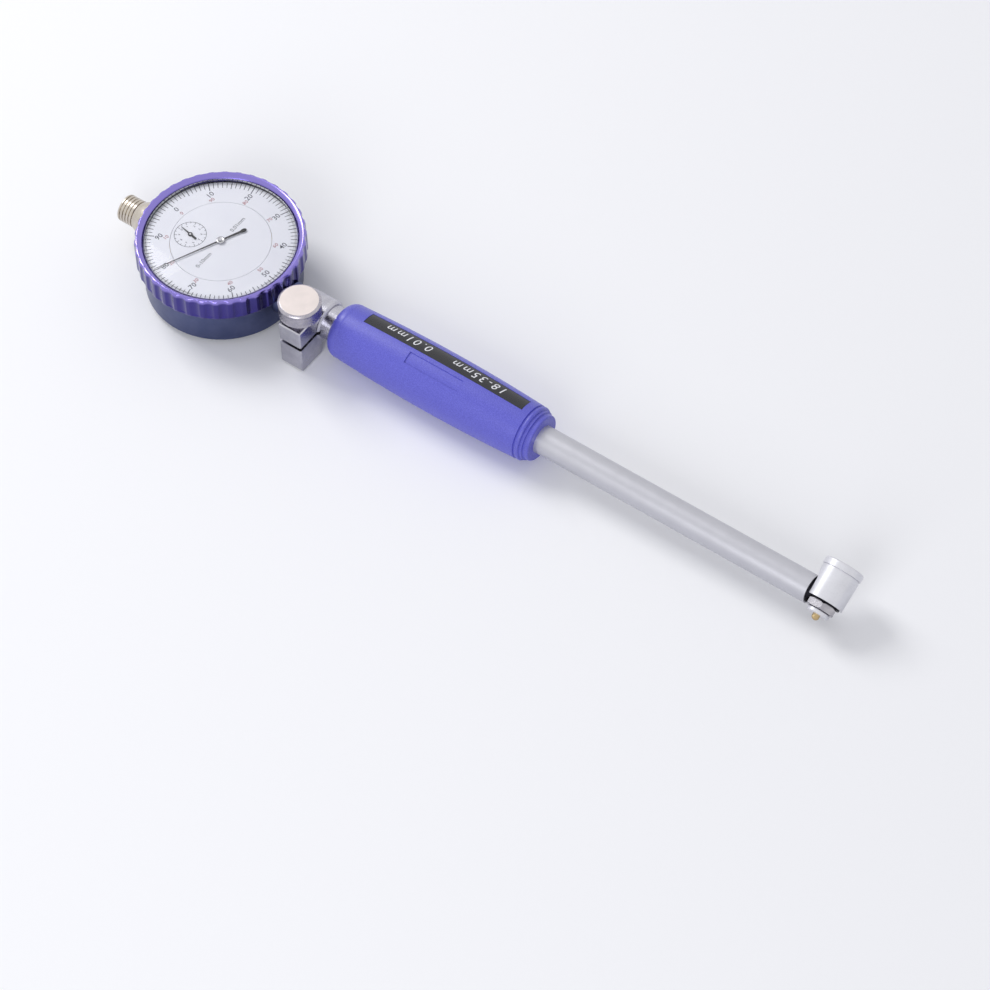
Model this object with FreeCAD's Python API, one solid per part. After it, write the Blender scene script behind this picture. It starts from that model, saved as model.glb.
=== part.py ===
import FreeCAD, Part

import math
import os

from FreeCAD import Placement, Rotation, Vector

# Dial bore gauge, millimetres.  +X runs along the gauge axis from the dial to the measuring head,
# +Z is square to the dial face.  The origin is the middle of the indicator's flat back, on which the
# gauge lies, so Z = 0 is the resting plane.

# ---- driving dimensions -------------------------------------------------------------------------
RUN = 0.04                    # radial clearance of a running fit
SEAT = 0.02                   # gap between two faces that meet on different moving pieces
AXIS_HEIGHT = 11.0            # gauge axis above the resting plane

# indicator case, cover and bezel
CASE_RADIUS = 27.2
CASE_WALL = 1.8
COVER_THICKNESS = 1.6
COVER_INSET = 2.0             # of the cover's edge from the case's side
COVER_FLANGE_WIDTH = 5.4
COVER_FLANGE_THICKNESS = 1.6
COVER_SCREW_INSET = 3.8
COVER_SCREW_ANGLES = (45.0, 135.0, 225.0, 315.0)
COVER_SCREW_RADIUS = 0.8
COVER_SCREW_HEAD_RADIUS = 1.5
BEZEL_WALL = 2.2              # outside the case
BEZEL_SKIRT = 4.2             # overlap of the bezel on the case
BEZEL_FLUTES = 38
FLUTE_DEPTH = 0.5
FLUTE_SHARE = 0.78            # share of each pitch that is hollowed
WINDOW_INSET = 0.2            # of the window's edge from the case's side
LIP_WIDTH = 0.8
LIP_THICKNESS = 0.3
BEZEL_RISE = 1.6              # slope from the lip up to the crest
CREST_ROUND = 0.8
RETAINING_WIRE_RADIUS = 0.4
CRYSTAL_FLANGE = 0.6
CRYSTAL_THICKNESS = 1.0
CRYSTAL_RISE = 1.4            # raised centre above the flange

# dial, pointers
DIAL_THICKNESS = 0.6
DIAL_SPLIT = 0.66             # radius of the fixed middle of the dial, as a share of the sight radius
DIAL_GAP = 0.15
DIAL_CLIP_HEIGHT = 0.8
SPACER_HEIGHT = 0.3           # between the dial and the crystal's flange
POINTER_ANGLE = 244.8         # direction of the main pointer's tip, from +X
POINTER_SHORT = 1.3           # of the sight radius
POINTER_TAIL = 9.9
POINTER_THICKNESS = 0.25
POINTER_HUB_RADIUS = 1.5
COUNTER_POINTER_ANGLE = 169.0
COUNTER_POINTER_LENGTH = 4.6
COUNTER_POINTER_TAIL = 2.9
COUNTER_HUB_RADIUS = 0.8

# movement
RACK_PITCH = 0.625
RACK_PINION_TEETH = 16
WHEEL_TEETH = 100
CENTRE_PINION_TEETH = 10
COUNTER_ANGLE = 199.0         # direction of the counter arbor from the centre arbor
WHEEL_THICKNESS = 0.6
PIVOT_RADIUS = 0.5
PLATE_ROOM = 0.8              # between the main plate and the case's wall
PLATE_THICKNESS = 1.2
PLATE_SPACE = 2.8             # between the plates
UPPER_PLATE_THICKNESS = 1.0
PILLAR_RADIUS = 1.5
PLATE_SCREW_RADIUS = 0.7
PLATE_SCREW_HEAD_RADIUS = 1.4
PLATE_SCREW_HEAD_HEIGHT = 0.7
POST_RADIUS = 2.7
POST_INSET = 4.0              # from the case's side
PLATE_WINDOW = 2.8            # radius of the main plate's lightening holes
UPPER_PLATE_INSET = 5.1
POST_ANGLES = (90.0, 210.0, 330.0)

# spindle, stem, cap
SPINDLE_RADIUS = 2.0
SPINDLE_TRAVEL = 10.0
STEM_RADIUS = 4.0
STEM_BORE = 2.6
STEM_LENGTH = 19.8            # outside the case
SPINDLE_SHOWN = 0.6           # of the spindle below the stem, at rest
BUSH_LENGTH = 7.5
CONTACT_LENGTH = 8.4
BOSS_LENGTH = 9.4             # top boss, outside the case
BOSS_RADIUS = 6.6
CAP_RADIUS = 4.95
CAP_LENGTH = 5.9
CAP_RINGS = 4
CAP_GROOVE = 0.4
CAP_WALL = 1.0

# clamp and grip
COLLAR_PLACE = 8.3            # from the case's side, along the stem
COLLAR_LENGTH = 10.8
COLLAR_RADIUS = 7.4
COLLAR_CHAMFER = 0.7
NECK_RADIUS = 6.2
NECK_LENGTH = 15.7
LUG_WIDTH = 9.1
LUG_INNER = 5.6               # from the gauge axis to the lug's back
LUG_REACH = 16.2              # from the gauge axis to the lug's front
LUG_BOTTOM = 0.2
LUG_TOP = 19.7
LUG_CHAMFER = 0.4
SLIT_HEIGHT = 1.5
SLIT_OFFSET = 0.5             # middle of the slit above the gauge axis
CLAMP_SCREW_OFFSET = 9.5      # from the gauge axis
CLAMP_SCREW_RADIUS = 2.0
KNOB_RADIUS = 7.5
KNOB_SIDE = 5.4
KNOB_BEVEL = 0.7
KNOB_BOSS_RADIUS = 4.6
KNOB_BOSS_HEIGHT = 2.6
NECK_SHOWN = 3.8              # between the collar and the grip
GRIP_LENGTH = 83.3
GRIP_RADIUS = 10.95           # fullest, half way
GRIP_END_RADIUS = 9.9
GRIP_ROUND = 4.4
GRIP_TAIL = 5.2               # grooved end of the grip
LABEL_PLACE = 10.4            # from the grip's upper end
LABEL_LENGTH = 65.0
LABEL_ANGLE = 15.5            # middle of the label from straight up, away from the lug
LABEL_SPREAD = 32.5
LABEL_DEPTH = 0.35
LABEL_THICKNESS = 0.25
PANEL_PLACE = 31.2
PANEL_LENGTH = 21.8
PANEL_ANGLE = -20.8
PANEL_SPREAD = 22.5

# tube, rod
TUBE_RADIUS = 5.0
TUBE_BORE = 4.0
TUBE_LENGTH = 191.95
TUBE_DEPTH = 14.0             # of the tube's end in the neck
ROD_RADIUS = 1.5
ROD_TIP_RADIUS = 1.0
ROD_PAD_RADIUS = 2.6
ROD_PAD_LENGTH = 6.0
ROD_BUSH_LENGTH = 7.0
ROD_BUSH_ROOM = 5.0           # between the rod's pad and the upper bush
LOWER_BUSH_PLACE = 23.6       # from the tube's lower end
ROD_SPRING_LENGTH = 18.0
ROD_SPRING_COILS = 7
ROD_SPRING_WIRE = 0.5
ROD_CLIP_RADIUS = 3.2
ROD_CLIP_THICKNESS = 0.8

# measuring head, along the measuring axis from the gauge axis
HEAD_PLACE = 5.75             # from the tube's lower end
MEASURING_ANGLE = 26.0        # of the measuring axis above level, on the side away from the lug
PLUNGER_TRAVEL = 1.0
BRIDGE_TRAVEL = 2.5
CORE_RADIUS = 5.66
CORE_BOTTOM = -2.2
CORE_TOP = 7.6
HEAD_NECK_RADIUS = 4.5
SPIGOT_LENGTH = 8.0
BRIDGE_BOTTOM = -1.7
BRIDGE_TOP = 12.0
BRIDGE_LOWER_RADIUS = 6.6
BRIDGE_UPPER_RADIUS = 6.7
BRIDGE_RIM_RADIUS = 6.95
BRIDGE_RIM_HEIGHT = 2.7
BRIDGE_RIM_ROUND = 0.8
BRIDGE_FACE = 1.0
BRIDGE_GROOVE = 0.3
CRANK_ARM = 3.2
CRANK_THICKNESS = 1.6
CRANK_HUB_RADIUS = 1.1
CRANK_PIN_RADIUS = 0.6
CRANK_PAD_RADIUS = 0.6
CRANK_ARM_WIDTH = 0.8
PLUNGER_RADIUS = 1.5
PLUNGER_FLANGE_RADIUS = 1.9
PLUNGER_FLANGE_THICKNESS = 0.7
PLUNGER_STUB_RADIUS = 0.9
BALL_RADIUS = 1.45
BALL_PROUD = 0.3              # of the bridge's rim
PLUNGER_BUSH_RADIUS = 2.9
PLUNGER_BUSH_LENGTH = 2.0
BRIDGE_SPRING_RADIUS = 4.2
BRIDGE_SPRING_WIRE = 0.45
BRIDGE_SPRING_COILS = 4
SPRING_GROOVE_WIDTH = 1.2
SPRING_GROOVE_DEPTH = 2.4
STOP_SCREW_RADIUS = 0.9
STOP_SCREW_HEIGHT = 0.6
STOP_SCREW_DEPTH = 1.6
NUT_FLATS = 9.4
NUT_THICKNESS = 2.5
NUT_TURN = 45.0
ANVIL_SHANK_RADIUS = 2.0
ANVIL_THREAD_DEPTH = 1.0
ANVIL_FLANGE_RADIUS = 4.0
ANVIL_FLANGE_THICKNESS = 1.5
ANVIL_TIP_RADIUS = 1.3
ANVIL_TIP_LENGTH = 2.0

# ---- levels and places that follow ---------------------------------------------------------------
PLATE_BOTTOM = AXIS_HEIGHT + SPINDLE_RADIUS + 0.6
PLATE_TOP = PLATE_BOTTOM + PLATE_THICKNESS
UPPER_PLATE_BOTTOM = PLATE_TOP + PLATE_SPACE
UPPER_PLATE_TOP = UPPER_PLATE_BOTTOM + UPPER_PLATE_THICKNESS
CASE_TOP = UPPER_PLATE_TOP + 1.0
DIAL_BOTTOM = CASE_TOP + DIAL_CLIP_HEIGHT + 0.6
DIAL_TOP = DIAL_BOTTOM + DIAL_THICKNESS
BEZEL_BOTTOM = CASE_TOP - BEZEL_SKIRT
CRYSTAL_SEAT = DIAL_TOP + SPACER_HEIGHT
LIP_BOTTOM = CRYSTAL_SEAT + CRYSTAL_FLANGE
LIP_TOP = LIP_BOTTOM + LIP_THICKNESS
BEZEL_TOP = LIP_TOP + BEZEL_RISE
CASE_BORE = CASE_RADIUS - CASE_WALL
COVER_RADIUS = CASE_RADIUS - COVER_INSET
COVER_FLANGE_BORE = CASE_RADIUS - COVER_FLANGE_WIDTH
COVER_SCREW_CIRCLE = CASE_RADIUS - COVER_SCREW_INSET
POST_CIRCLE = CASE_RADIUS - POST_INSET
PLATE_RADIUS = CASE_BORE - PLATE_ROOM
UPPER_PLATE_RADIUS = PLATE_RADIUS - UPPER_PLATE_INSET
BEZEL_RADIUS = CASE_RADIUS + BEZEL_WALL
BEZEL_BORE = CASE_RADIUS - WINDOW_INSET
LIP_RADIUS = BEZEL_BORE - LIP_WIDTH
CREST_RADIUS = BEZEL_RADIUS - CREST_ROUND - 0.1
FIXED_DIAL_RADIUS = LIP_RADIUS * DIAL_SPLIT
POINTER_LENGTH = LIP_RADIUS - POINTER_SHORT
WIRE_HEIGHT = BEZEL_BOTTOM + BEZEL_SKIRT / 2

MODULE = RACK_PITCH / math.pi
RACK_PINION_PITCH_RADIUS = MODULE * RACK_PINION_TEETH / 2
WHEEL_PITCH_RADIUS = MODULE * WHEEL_TEETH / 2
CENTRE_PITCH_RADIUS = MODULE * CENTRE_PINION_TEETH / 2
ARBOR_DISTANCE = WHEEL_PITCH_RADIUS + CENTRE_PITCH_RADIUS
ADDENDUM = 0.8 * MODULE
DEDENDUM = 1.1 * MODULE
TOOTH_SHARE = 0.40            # of the pitch, at the pitch line
RACK_LINE = SPINDLE_RADIUS - 0.4                        # pitch line of the rack from the spindle axis
FIRST_Y = -(RACK_LINE + RACK_PINION_PITCH_RADIUS)
FIRST_X = math.sqrt(ARBOR_DISTANCE ** 2 - FIRST_Y ** 2)
FIRST_ANGLE = math.degrees(math.atan2(FIRST_Y, FIRST_X))
COUNTER_X = ARBOR_DISTANCE * math.cos(math.radians(COUNTER_ANGLE))
COUNTER_Y = ARBOR_DISTANCE * math.sin(math.radians(COUNTER_ANGLE))
FIRST_WHEEL_BOTTOM = PLATE_TOP + 0.5
COUNTER_WHEEL_BOTTOM = UPPER_PLATE_BOTTOM - WHEEL_THICKNESS - 0.4
HAIRSPRING_BOTTOM = PLATE_TOP + 0.5

COLLAR_START = CASE_RADIUS + COLLAR_PLACE
COLLAR_END = COLLAR_START + COLLAR_LENGTH
NECK_END = COLLAR_END + NECK_LENGTH
LUG_START = COLLAR_START + (COLLAR_LENGTH - LUG_WIDTH) * 0.65
GRIP_START = COLLAR_END + NECK_SHOWN
GRIP_END = GRIP_START + GRIP_LENGTH
LABEL_START = GRIP_START + LABEL_PLACE
PANEL_START = GRIP_START + PANEL_PLACE
TUBE_START = NECK_END - TUBE_DEPTH
TUBE_END = TUBE_START + TUBE_LENGTH
HEAD_X = TUBE_END + HEAD_PLACE

SPINDLE_TOP = -(CASE_RADIUS + BOSS_LENGTH + CAP_LENGTH - CAP_WALL - SPINDLE_TRAVEL - 0.5)
STEM_END = CASE_RADIUS + STEM_LENGTH
SPINDLE_REACH = STEM_END + SPINDLE_SHOWN
CONTACT_END = SPINDLE_REACH + CONTACT_LENGTH
BOSS_END = -(CASE_RADIUS + BOSS_LENGTH)
CAP_END = BOSS_END - CAP_LENGTH
CAP_SPIGOT_RADIUS = CAP_RADIUS - 1.2

LUG_MIDDLE = LUG_START + LUG_WIDTH / 2
SLIT_MIDDLE = AXIS_HEIGHT + SLIT_OFFSET
GRIP_MIDDLE = (GRIP_START + GRIP_END) / 2
ROD_START = CONTACT_END + SEAT
ROD_PAD_END = ROD_START + ROD_PAD_LENGTH
UPPER_BUSH_START = ROD_PAD_END + ROD_BUSH_ROOM
LOWER_BUSH_START = TUBE_END - LOWER_BUSH_PLACE
ROD_SPRING_START = UPPER_BUSH_START + ROD_BUSH_LENGTH
ROD_CLIP_START = ROD_SPRING_START + ROD_SPRING_LENGTH

CRANK_SWING = math.degrees(PLUNGER_TRAVEL / CRANK_ARM)  # at a constant ratio over the travel
CRANK_X = -CRANK_ARM                                    # pin, from the head's centre
CRANK_Z = CRANK_ARM
PAD_RISE = CRANK_ARM * math.sin(math.radians(CRANK_SWING / 2))
PLUNGER_INNER_END = CRANK_Z + PAD_RISE + CRANK_PAD_RADIUS + SEAT
ROD_END = HEAD_X + CRANK_X + PAD_RISE - CRANK_PAD_RADIUS - SEAT
PLUNGER_BUSH_BOTTOM = CORE_TOP - PLUNGER_BUSH_LENGTH
PLUNGER_FLANGE_TOP = PLUNGER_BUSH_BOTTOM - SEAT
BALL_CENTRE = BRIDGE_TOP + BALL_PROUD - BALL_RADIUS
BRIDGE_BORE = CORE_RADIUS + RUN
BRIDGE_ROOF = BRIDGE_TOP - BRIDGE_FACE
NUT_TOP = CORE_BOTTOM
NUT_BOTTOM = NUT_TOP - NUT_THICKNESS
ANVIL_FLANGE_TOP = NUT_BOTTOM - 0.1
ANVIL_TIP_START = ANVIL_FLANGE_TOP - ANVIL_FLANGE_THICKNESS

UP = Vector(0, 0, 1)
GAUGE_AXIS = Placement(Vector(0, 0, AXIS_HEIGHT), Rotation(Vector(0, 1, 0), 90))
HEAD = Placement(Vector(HEAD_X, 0, AXIS_HEIGHT), Rotation(Vector(1, 0, 0), MEASURING_ANGLE - 90))


# ---- helpers -------------------------------------------------------------------------------------
def outline(*steps):
    """Closed wire in the XZ plane.  A step is a point (x, z), or (middle, end) for an arc."""
    def at(point):
        return Vector(point[0], 0, point[1])

    edges = []
    last = steps[0]
    for step in steps[1:] + (steps[0],):
        if isinstance(step[0], tuple):
            middle, step = step
            edges.append(Part.Arc(at(last), at(middle), at(step)).toShape())
        else:
            edges.append(Part.LineSegment(at(last), at(step)).toShape())
        last = step
    return Part.Wire(edges)


def turned(*steps, angle=360.0):
    """Solid of revolution about Z from steps of (radius, height)."""
    return Part.Face(outline(*steps)).revolve(Vector(0, 0, 0), UP, angle)


def dome(radius, base, rise):
    """Arc step from the edge of a rounded end, at height base, to its point on the axis."""
    curve = (radius ** 2 + rise ** 2) / (2 * abs(rise))
    half = math.asin(radius / curve) / 2
    side = math.copysign(1, rise)
    return (curve * math.sin(half), base + rise - side * curve * (1 - math.cos(half))), (0, base + rise)


def disc(radius, bottom, top, x=0.0, y=0.0):
    return Part.makeCylinder(radius, top - bottom, Vector(x, y, bottom))


def ring(outer, inner, bottom, top, x=0.0, y=0.0):
    return disc(outer, bottom, top, x, y).cut(disc(inner, bottom - 1, top + 1, x, y))


def prism(points, bottom, top):
    """Upright prism over a closed polygon of (x, y) points."""
    corners = [Vector(x, y, bottom) for x, y in points]
    return Part.Face(Part.makePolygon(corners + corners[:1])).extrude(Vector(0, 0, top - bottom))


def box(x, y, z):
    """Block between pairs of limits."""
    return Part.makeBox(x[1] - x[0], y[1] - y[0], z[1] - z[0], Vector(x[0], y[0], z[0]))


def polar(radius, angle, x=0.0, y=0.0):
    turn = math.radians(angle)
    return x + radius * math.cos(turn), y + radius * math.sin(turn)


def placed(shape, placement):
    moved = shape.copy()
    moved.Placement = placement.multiply(moved.Placement)
    return moved


def on_gauge_axis(shape):
    """Lay a shape turned about Z onto the gauge axis; heights become X."""
    return placed(shape, GAUGE_AXIS)


def in_head(shape):
    """Stand a shape turned about Z onto the measuring axis."""
    return placed(shape, HEAD)


def joined(shapes):
    shapes = list(shapes)
    return shapes[0].fuse(shapes[1:]).removeSplitter() if len(shapes) > 1 else shapes[0]


def gear_outline(teeth, phase):
    """Straight-flanked teeth, one of them centred on the angle phase."""
    pitch_radius = MODULE * teeth / 2
    step = 360.0 / teeth
    tip_half = step * (TOOTH_SHARE / 2 - 0.11)
    root_half = step * (TOOTH_SHARE / 2 + 0.06)
    points = []
    for index in range(teeth):
        middle = phase + index * step
        points.append(polar(pitch_radius - DEDENDUM, middle - root_half))
        points.append(polar(pitch_radius + ADDENDUM, middle - tip_half))
        points.append(polar(pitch_radius + ADDENDUM, middle + tip_half))
        points.append(polar(pitch_radius - DEDENDUM, middle + root_half))
    return points


def gear(teeth, phase, bottom, top, x, y):
    body = prism(gear_outline(teeth, phase), bottom, top)
    body.translate(Vector(x, y, 0))
    return body


def spoked_wheel(phase, bottom, x, y):
    """100-tooth wheel with four round windows and a hole for its arbor."""
    top = bottom + WHEEL_THICKNESS
    body = gear(WHEEL_TEETH, phase, bottom, top, x, y)
    holes = [disc(ARBOR_RADIUS, bottom - 1, top + 1, x, y)]
    for quarter in range(4):
        hole_x, hole_y = polar(WHEEL_PITCH_RADIUS * 0.55, 45 + 90 * quarter, x, y)
        holes.append(disc(WHEEL_PITCH_RADIUS * 0.26, bottom - 1, top + 1, hole_x, hole_y))
    return body.cut(holes)


def coil(mean_radius, wire, length, coils):
    """Square-wire helix about Z, from Z = 0 to length."""
    rise = length - wire
    path = Part.makeHelix(rise / coils, rise, mean_radius)
    half = wire / 2
    section = [Vector(mean_radius + a, 0, b) for a, b in
               ((-half, -half), (half, -half), (half, half), (-half, half))]
    solid = Part.Wire(path).makePipeShell([Part.makePolygon(section + section[:1])], True, True)
    solid.translate(Vector(0, 0, half))
    return solid


ARBOR_RADIUS = 0.8


# ---- indicator case ------------------------------------------------------------------------------
def indicator_case():
    """Turned cup with its cover flange, movement posts, stem boss and top boss."""
    wall = turned(
        (CASE_RADIUS - 0.8, COVER_THICKNESS), ((CASE_RADIUS - 0.25, COVER_THICKNESS + 0.25),
                                               (CASE_RADIUS, COVER_THICKNESS + 0.8)),
        (CASE_RADIUS, CASE_TOP), (CASE_BORE, CASE_TOP),
        (CASE_BORE, COVER_THICKNESS + COVER_FLANGE_THICKNESS),
        (COVER_FLANGE_BORE, COVER_THICKNESS + COVER_FLANGE_THICKNESS), (COVER_FLANGE_BORE, COVER_THICKNESS))
    posts = [disc(POST_RADIUS, COVER_THICKNESS, PLATE_BOTTOM, *polar(POST_CIRCLE, angle))
             for angle in POST_ANGLES]
    inside = disc(CASE_RADIUS - 0.5, COVER_THICKNESS, PLATE_BOTTOM)
    posts = [post.common(inside) for post in posts]
    start = CASE_BORE + 0.4
    stem_boss = on_gauge_axis(turned(
        (0, start), (BOSS_RADIUS, start), (BOSS_RADIUS, CASE_RADIUS + 2.4),
        (STEM_RADIUS + 1.4, CASE_RADIUS + 3.6), (0, CASE_RADIUS + 3.6)))
    bezel_room = bezel_clearance()
    body = joined([wall] + posts + [stem_boss.cut(bezel_room)])
    tools = [
        on_gauge_axis(disc(STEM_RADIUS, CASE_BORE - 1.5, CASE_RADIUS + 5)),
        on_gauge_axis(disc(TOP_BUSH_RADIUS, BOSS_END - 4, 1.5 - CASE_BORE)), top_neck(),
        wire_groove(CASE_RADIUS - 0.65, CASE_RADIUS + 1)]
    tools += [disc(COVER_SCREW_RADIUS, 0, COVER_THICKNESS + COVER_FLANGE_THICKNESS + 1,
                   *polar(COVER_SCREW_CIRCLE, angle)) for angle in COVER_SCREW_ANGLES]
    tools += [disc(PLATE_SCREW_RADIUS, PLATE_BOTTOM - PLATE_SCREW_DEPTH, PLATE_BOTTOM + 1,
                   *polar(POST_CIRCLE, angle)) for angle in POST_ANGLES]
    return body.cut(tools)


def bezel_clearance():
    return disc(BEZEL_RADIUS + 0.3, BEZEL_BOTTOM - 0.2, BEZEL_TOP)


def top_neck():
    """Flared neck let into the case opposite the stem; it carries the top bush and the dust cap."""
    start = CASE_BORE - 0.6
    body = on_gauge_axis(turned(
        (TOP_BUSH_RADIUS, -start), (BOSS_RADIUS, -start), (BOSS_RADIUS, BOSS_END + 4.6),
        ((CAP_RADIUS + 0.6, BOSS_END + 1.8), (CAP_RADIUS - 0.3, BOSS_END)),
        (CAP_SPIGOT_RADIUS, BOSS_END), (CAP_SPIGOT_RADIUS, BOSS_END - 3.0), (TOP_BUSH_RADIUS, BOSS_END - 3.0)))
    return body.cut(bezel_clearance())


TOP_BUSH_RADIUS = 3.0
PLATE_SCREW_DEPTH = 2.5


def wire_groove(inner, outer):
    half = RETAINING_WIRE_RADIUS + 0.1
    return ring(outer, inner, WIRE_HEIGHT - half, WIRE_HEIGHT + half)


def back_cover():
    body = turned((0, 0), (COVER_RADIUS - 0.6, 0), (COVER_RADIUS, 0.6), (COVER_RADIUS, COVER_THICKNESS),
                  (0, COVER_THICKNESS))
    return body.cut([cover_screw(angle) for angle in COVER_SCREW_ANGLES])


def cover_screw(angle):
    """Countersunk screw, its slotted head flush with the cover."""
    flare = COVER_SCREW_HEAD_RADIUS - COVER_SCREW_RADIUS
    screw = turned((0, 0.02), (COVER_SCREW_HEAD_RADIUS, 0.02), (COVER_SCREW_HEAD_RADIUS, 0.2),
                   (COVER_SCREW_RADIUS, 0.2 + flare),
                   (COVER_SCREW_RADIUS, COVER_THICKNESS + COVER_FLANGE_THICKNESS),
                   (0, COVER_THICKNESS + COVER_FLANGE_THICKNESS))
    screw.translate(Vector(*polar(COVER_SCREW_CIRCLE, angle), 0))
    return screw


def back_cover_screws():
    slots = []
    for angle in COVER_SCREW_ANGLES:
        slot = box((-2, 2), (-0.2, 0.2), (-0.1, 0.35))
        slot.rotate(Vector(0, 0, 0), UP, angle + 30)
        slot.translate(Vector(*polar(COVER_SCREW_CIRCLE, angle), 0))
        slots.append(slot)
    return Part.makeCompound([cover_screw(angle).cut(slots) for angle in COVER_SCREW_ANGLES])


def retaining_wire():
    """Open spring ring that keeps the bezel on the case and gives its drag."""
    gap = 8.0
    loop = Part.makeTorus(CASE_RADIUS - 0.15, RETAINING_WIRE_RADIUS)
    cutter = prism([(0, 0), polar(CASE_RADIUS * 2, -gap / 2), polar(CASE_RADIUS * 2, gap / 2)], -1, 1)
    loop = loop.cut(cutter)
    loop.translate(Vector(0, 0, WIRE_HEIGHT))
    return loop


# ---- bezel, crystal and dial ---------------------------------------------------------------------
def flute_prism(bottom, top):
    """Upright prism whose outline is the ring of shallow hollows round the bezel."""
    step = 360.0 / BEZEL_FLUTES
    edges = []
    for index in range(BEZEL_FLUTES):
        start = index * step
        land = start + step * (1 - FLUTE_SHARE)
        end = start + step
        points = [Vector(*polar(radius, angle), bottom) for radius, angle in (
            (BEZEL_RADIUS, start), (BEZEL_RADIUS, (start + land) / 2), (BEZEL_RADIUS, land),
            (BEZEL_RADIUS - FLUTE_DEPTH, (land + end) / 2), (BEZEL_RADIUS, end))]
        edges.append(Part.Arc(*points[:3]).toShape())
        edges.append(Part.Arc(*points[2:]).toShape())
    return Part.Face(Part.Wire(edges)).extrude(Vector(0, 0, top - bottom))


def bezel():
    skirt_bore = CASE_RADIUS + RUN
    rim = BEZEL_RADIUS
    body = turned(
        (skirt_bore, BEZEL_BOTTOM), (rim, BEZEL_BOTTOM), (rim, BEZEL_TOP - 1.2),
        ((rim - 0.25, BEZEL_TOP - 0.45), (CREST_RADIUS, BEZEL_TOP)),
        ((CREST_RADIUS - CREST_ROUND * 0.75, BEZEL_TOP - CREST_ROUND * 0.35),
         (CREST_RADIUS - CREST_ROUND, BEZEL_TOP - CREST_ROUND)),
        (LIP_RADIUS, LIP_TOP), (LIP_RADIUS, LIP_BOTTOM), (BEZEL_BORE + SEAT, LIP_BOTTOM),
        (BEZEL_BORE + SEAT, CASE_TOP + 0.3), (skirt_bore, CASE_TOP + 0.3))
    body = body.common(flute_prism(BEZEL_BOTTOM - 1, BEZEL_TOP + 1))
    return body.cut(wire_groove(CASE_RADIUS - 1, CASE_RADIUS + 0.45))


def crystal():
    """Moulded window: a flange under the bezel's lip and a raised clear centre."""
    sight = LIP_RADIUS - 0.05
    top = CRYSTAL_SEAT + CRYSTAL_FLANGE + CRYSTAL_RISE
    under = top - CRYSTAL_THICKNESS
    return turned(
        (0, under), (sight - 1.4, under), (sight - 1.0, under - 0.3), (sight - 1.0, CRYSTAL_SEAT),
        (BEZEL_BORE, CRYSTAL_SEAT), (BEZEL_BORE, CRYSTAL_SEAT + CRYSTAL_FLANGE),
        (sight, CRYSTAL_SEAT + CRYSTAL_FLANGE), (sight, top - 0.6),
        ((sight - 0.18, top - 0.18), (sight - 0.6, top)), (0, top))


def dial_clip():
    """Snap ring in the bezel that holds the turning dial up against its spacer."""
    return ring(BEZEL_BORE, LIP_RADIUS - 0.5, DIAL_BOTTOM - DIAL_CLIP_HEIGHT, DIAL_BOTTOM)


def dial_spacer():
    """Ring that presses the turning dial against its seat under the crystal."""
    return ring(BEZEL_BORE, LIP_RADIUS - 0.1, DIAL_TOP, CRYSTAL_SEAT)


def dial_ring():
    return ring(BEZEL_BORE, FIXED_DIAL_RADIUS + DIAL_GAP, DIAL_BOTTOM, DIAL_TOP)


def fixed_dial():
    """Middle disc of the dial on three feet that stand on the upper plate."""
    body = disc(FIXED_DIAL_RADIUS, DIAL_BOTTOM, DIAL_TOP)
    feet = [disc(DIAL_FOOT_RADIUS, UPPER_PLATE_TOP, DIAL_BOTTOM, *polar(DIAL_FOOT_CIRCLE, angle))
            for angle in DIAL_FOOT_ANGLES]
    holes = [disc(ARBOR_RADIUS + 0.3, DIAL_BOTTOM - 1, DIAL_TOP + 1),
             disc(ARBOR_RADIUS, DIAL_BOTTOM - 1, DIAL_TOP + 1, COUNTER_X, COUNTER_Y)]
    return joined([body] + feet).cut(holes)


DIAL_FOOT_RADIUS = 1.0
DIAL_FOOT_CIRCLE = 15.0
DIAL_FOOT_ANGLES = (50.0, 170.0, 290.0)


# ---- pointers ------------------------------------------------------------------------------------
def needle(length, tail, tip_half, hub_half, tail_half, bottom, angle, x, y):
    body = prism([(length, -tip_half / 2), (length, tip_half / 2), (0, hub_half), (-tail * 0.3, hub_half),
                  (-tail * 0.4, tail_half), (-tail, tail_half), (-tail, -tail_half),
                  (-tail * 0.4, -tail_half), (-tail * 0.3, -hub_half), (0, -hub_half)],
                 bottom, bottom + POINTER_THICKNESS)
    body.rotate(Vector(0, 0, 0), UP, angle)
    body.translate(Vector(x, y, 0))
    return body


MAIN_POINTER_BOTTOM = DIAL_TOP + 0.45
COUNTER_POINTER_BOTTOM = DIAL_TOP + 0.12


def main_pointer():
    blade = needle(POINTER_LENGTH, POINTER_TAIL, 0.12, 0.32, 0.4, MAIN_POINTER_BOTTOM, POINTER_ANGLE, 0, 0)
    hub = disc(POINTER_HUB_RADIUS, MAIN_POINTER_BOTTOM - 0.1, MAIN_POINTER_BOTTOM + POINTER_THICKNESS + 0.3)
    hole = disc(PIVOT_RADIUS, MAIN_POINTER_BOTTOM - 1, MAIN_POINTER_BOTTOM + 2)
    return joined([blade, hub]).cut(hole)


def counter_pointer():
    blade = needle(COUNTER_POINTER_LENGTH, COUNTER_POINTER_TAIL, 0.1, 0.26, 0.36, COUNTER_POINTER_BOTTOM,
                   COUNTER_POINTER_ANGLE, COUNTER_X, COUNTER_Y)
    top = COUNTER_POINTER_BOTTOM + POINTER_THICKNESS
    hub = disc(COUNTER_HUB_RADIUS, COUNTER_POINTER_BOTTOM - 0.1, top, COUNTER_X, COUNTER_Y)
    hole = disc(PIVOT_RADIUS - 0.1, DIAL_TOP - 1, top + 1, COUNTER_X, COUNTER_Y)
    return joined([blade, hub]).cut(hole)


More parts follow.
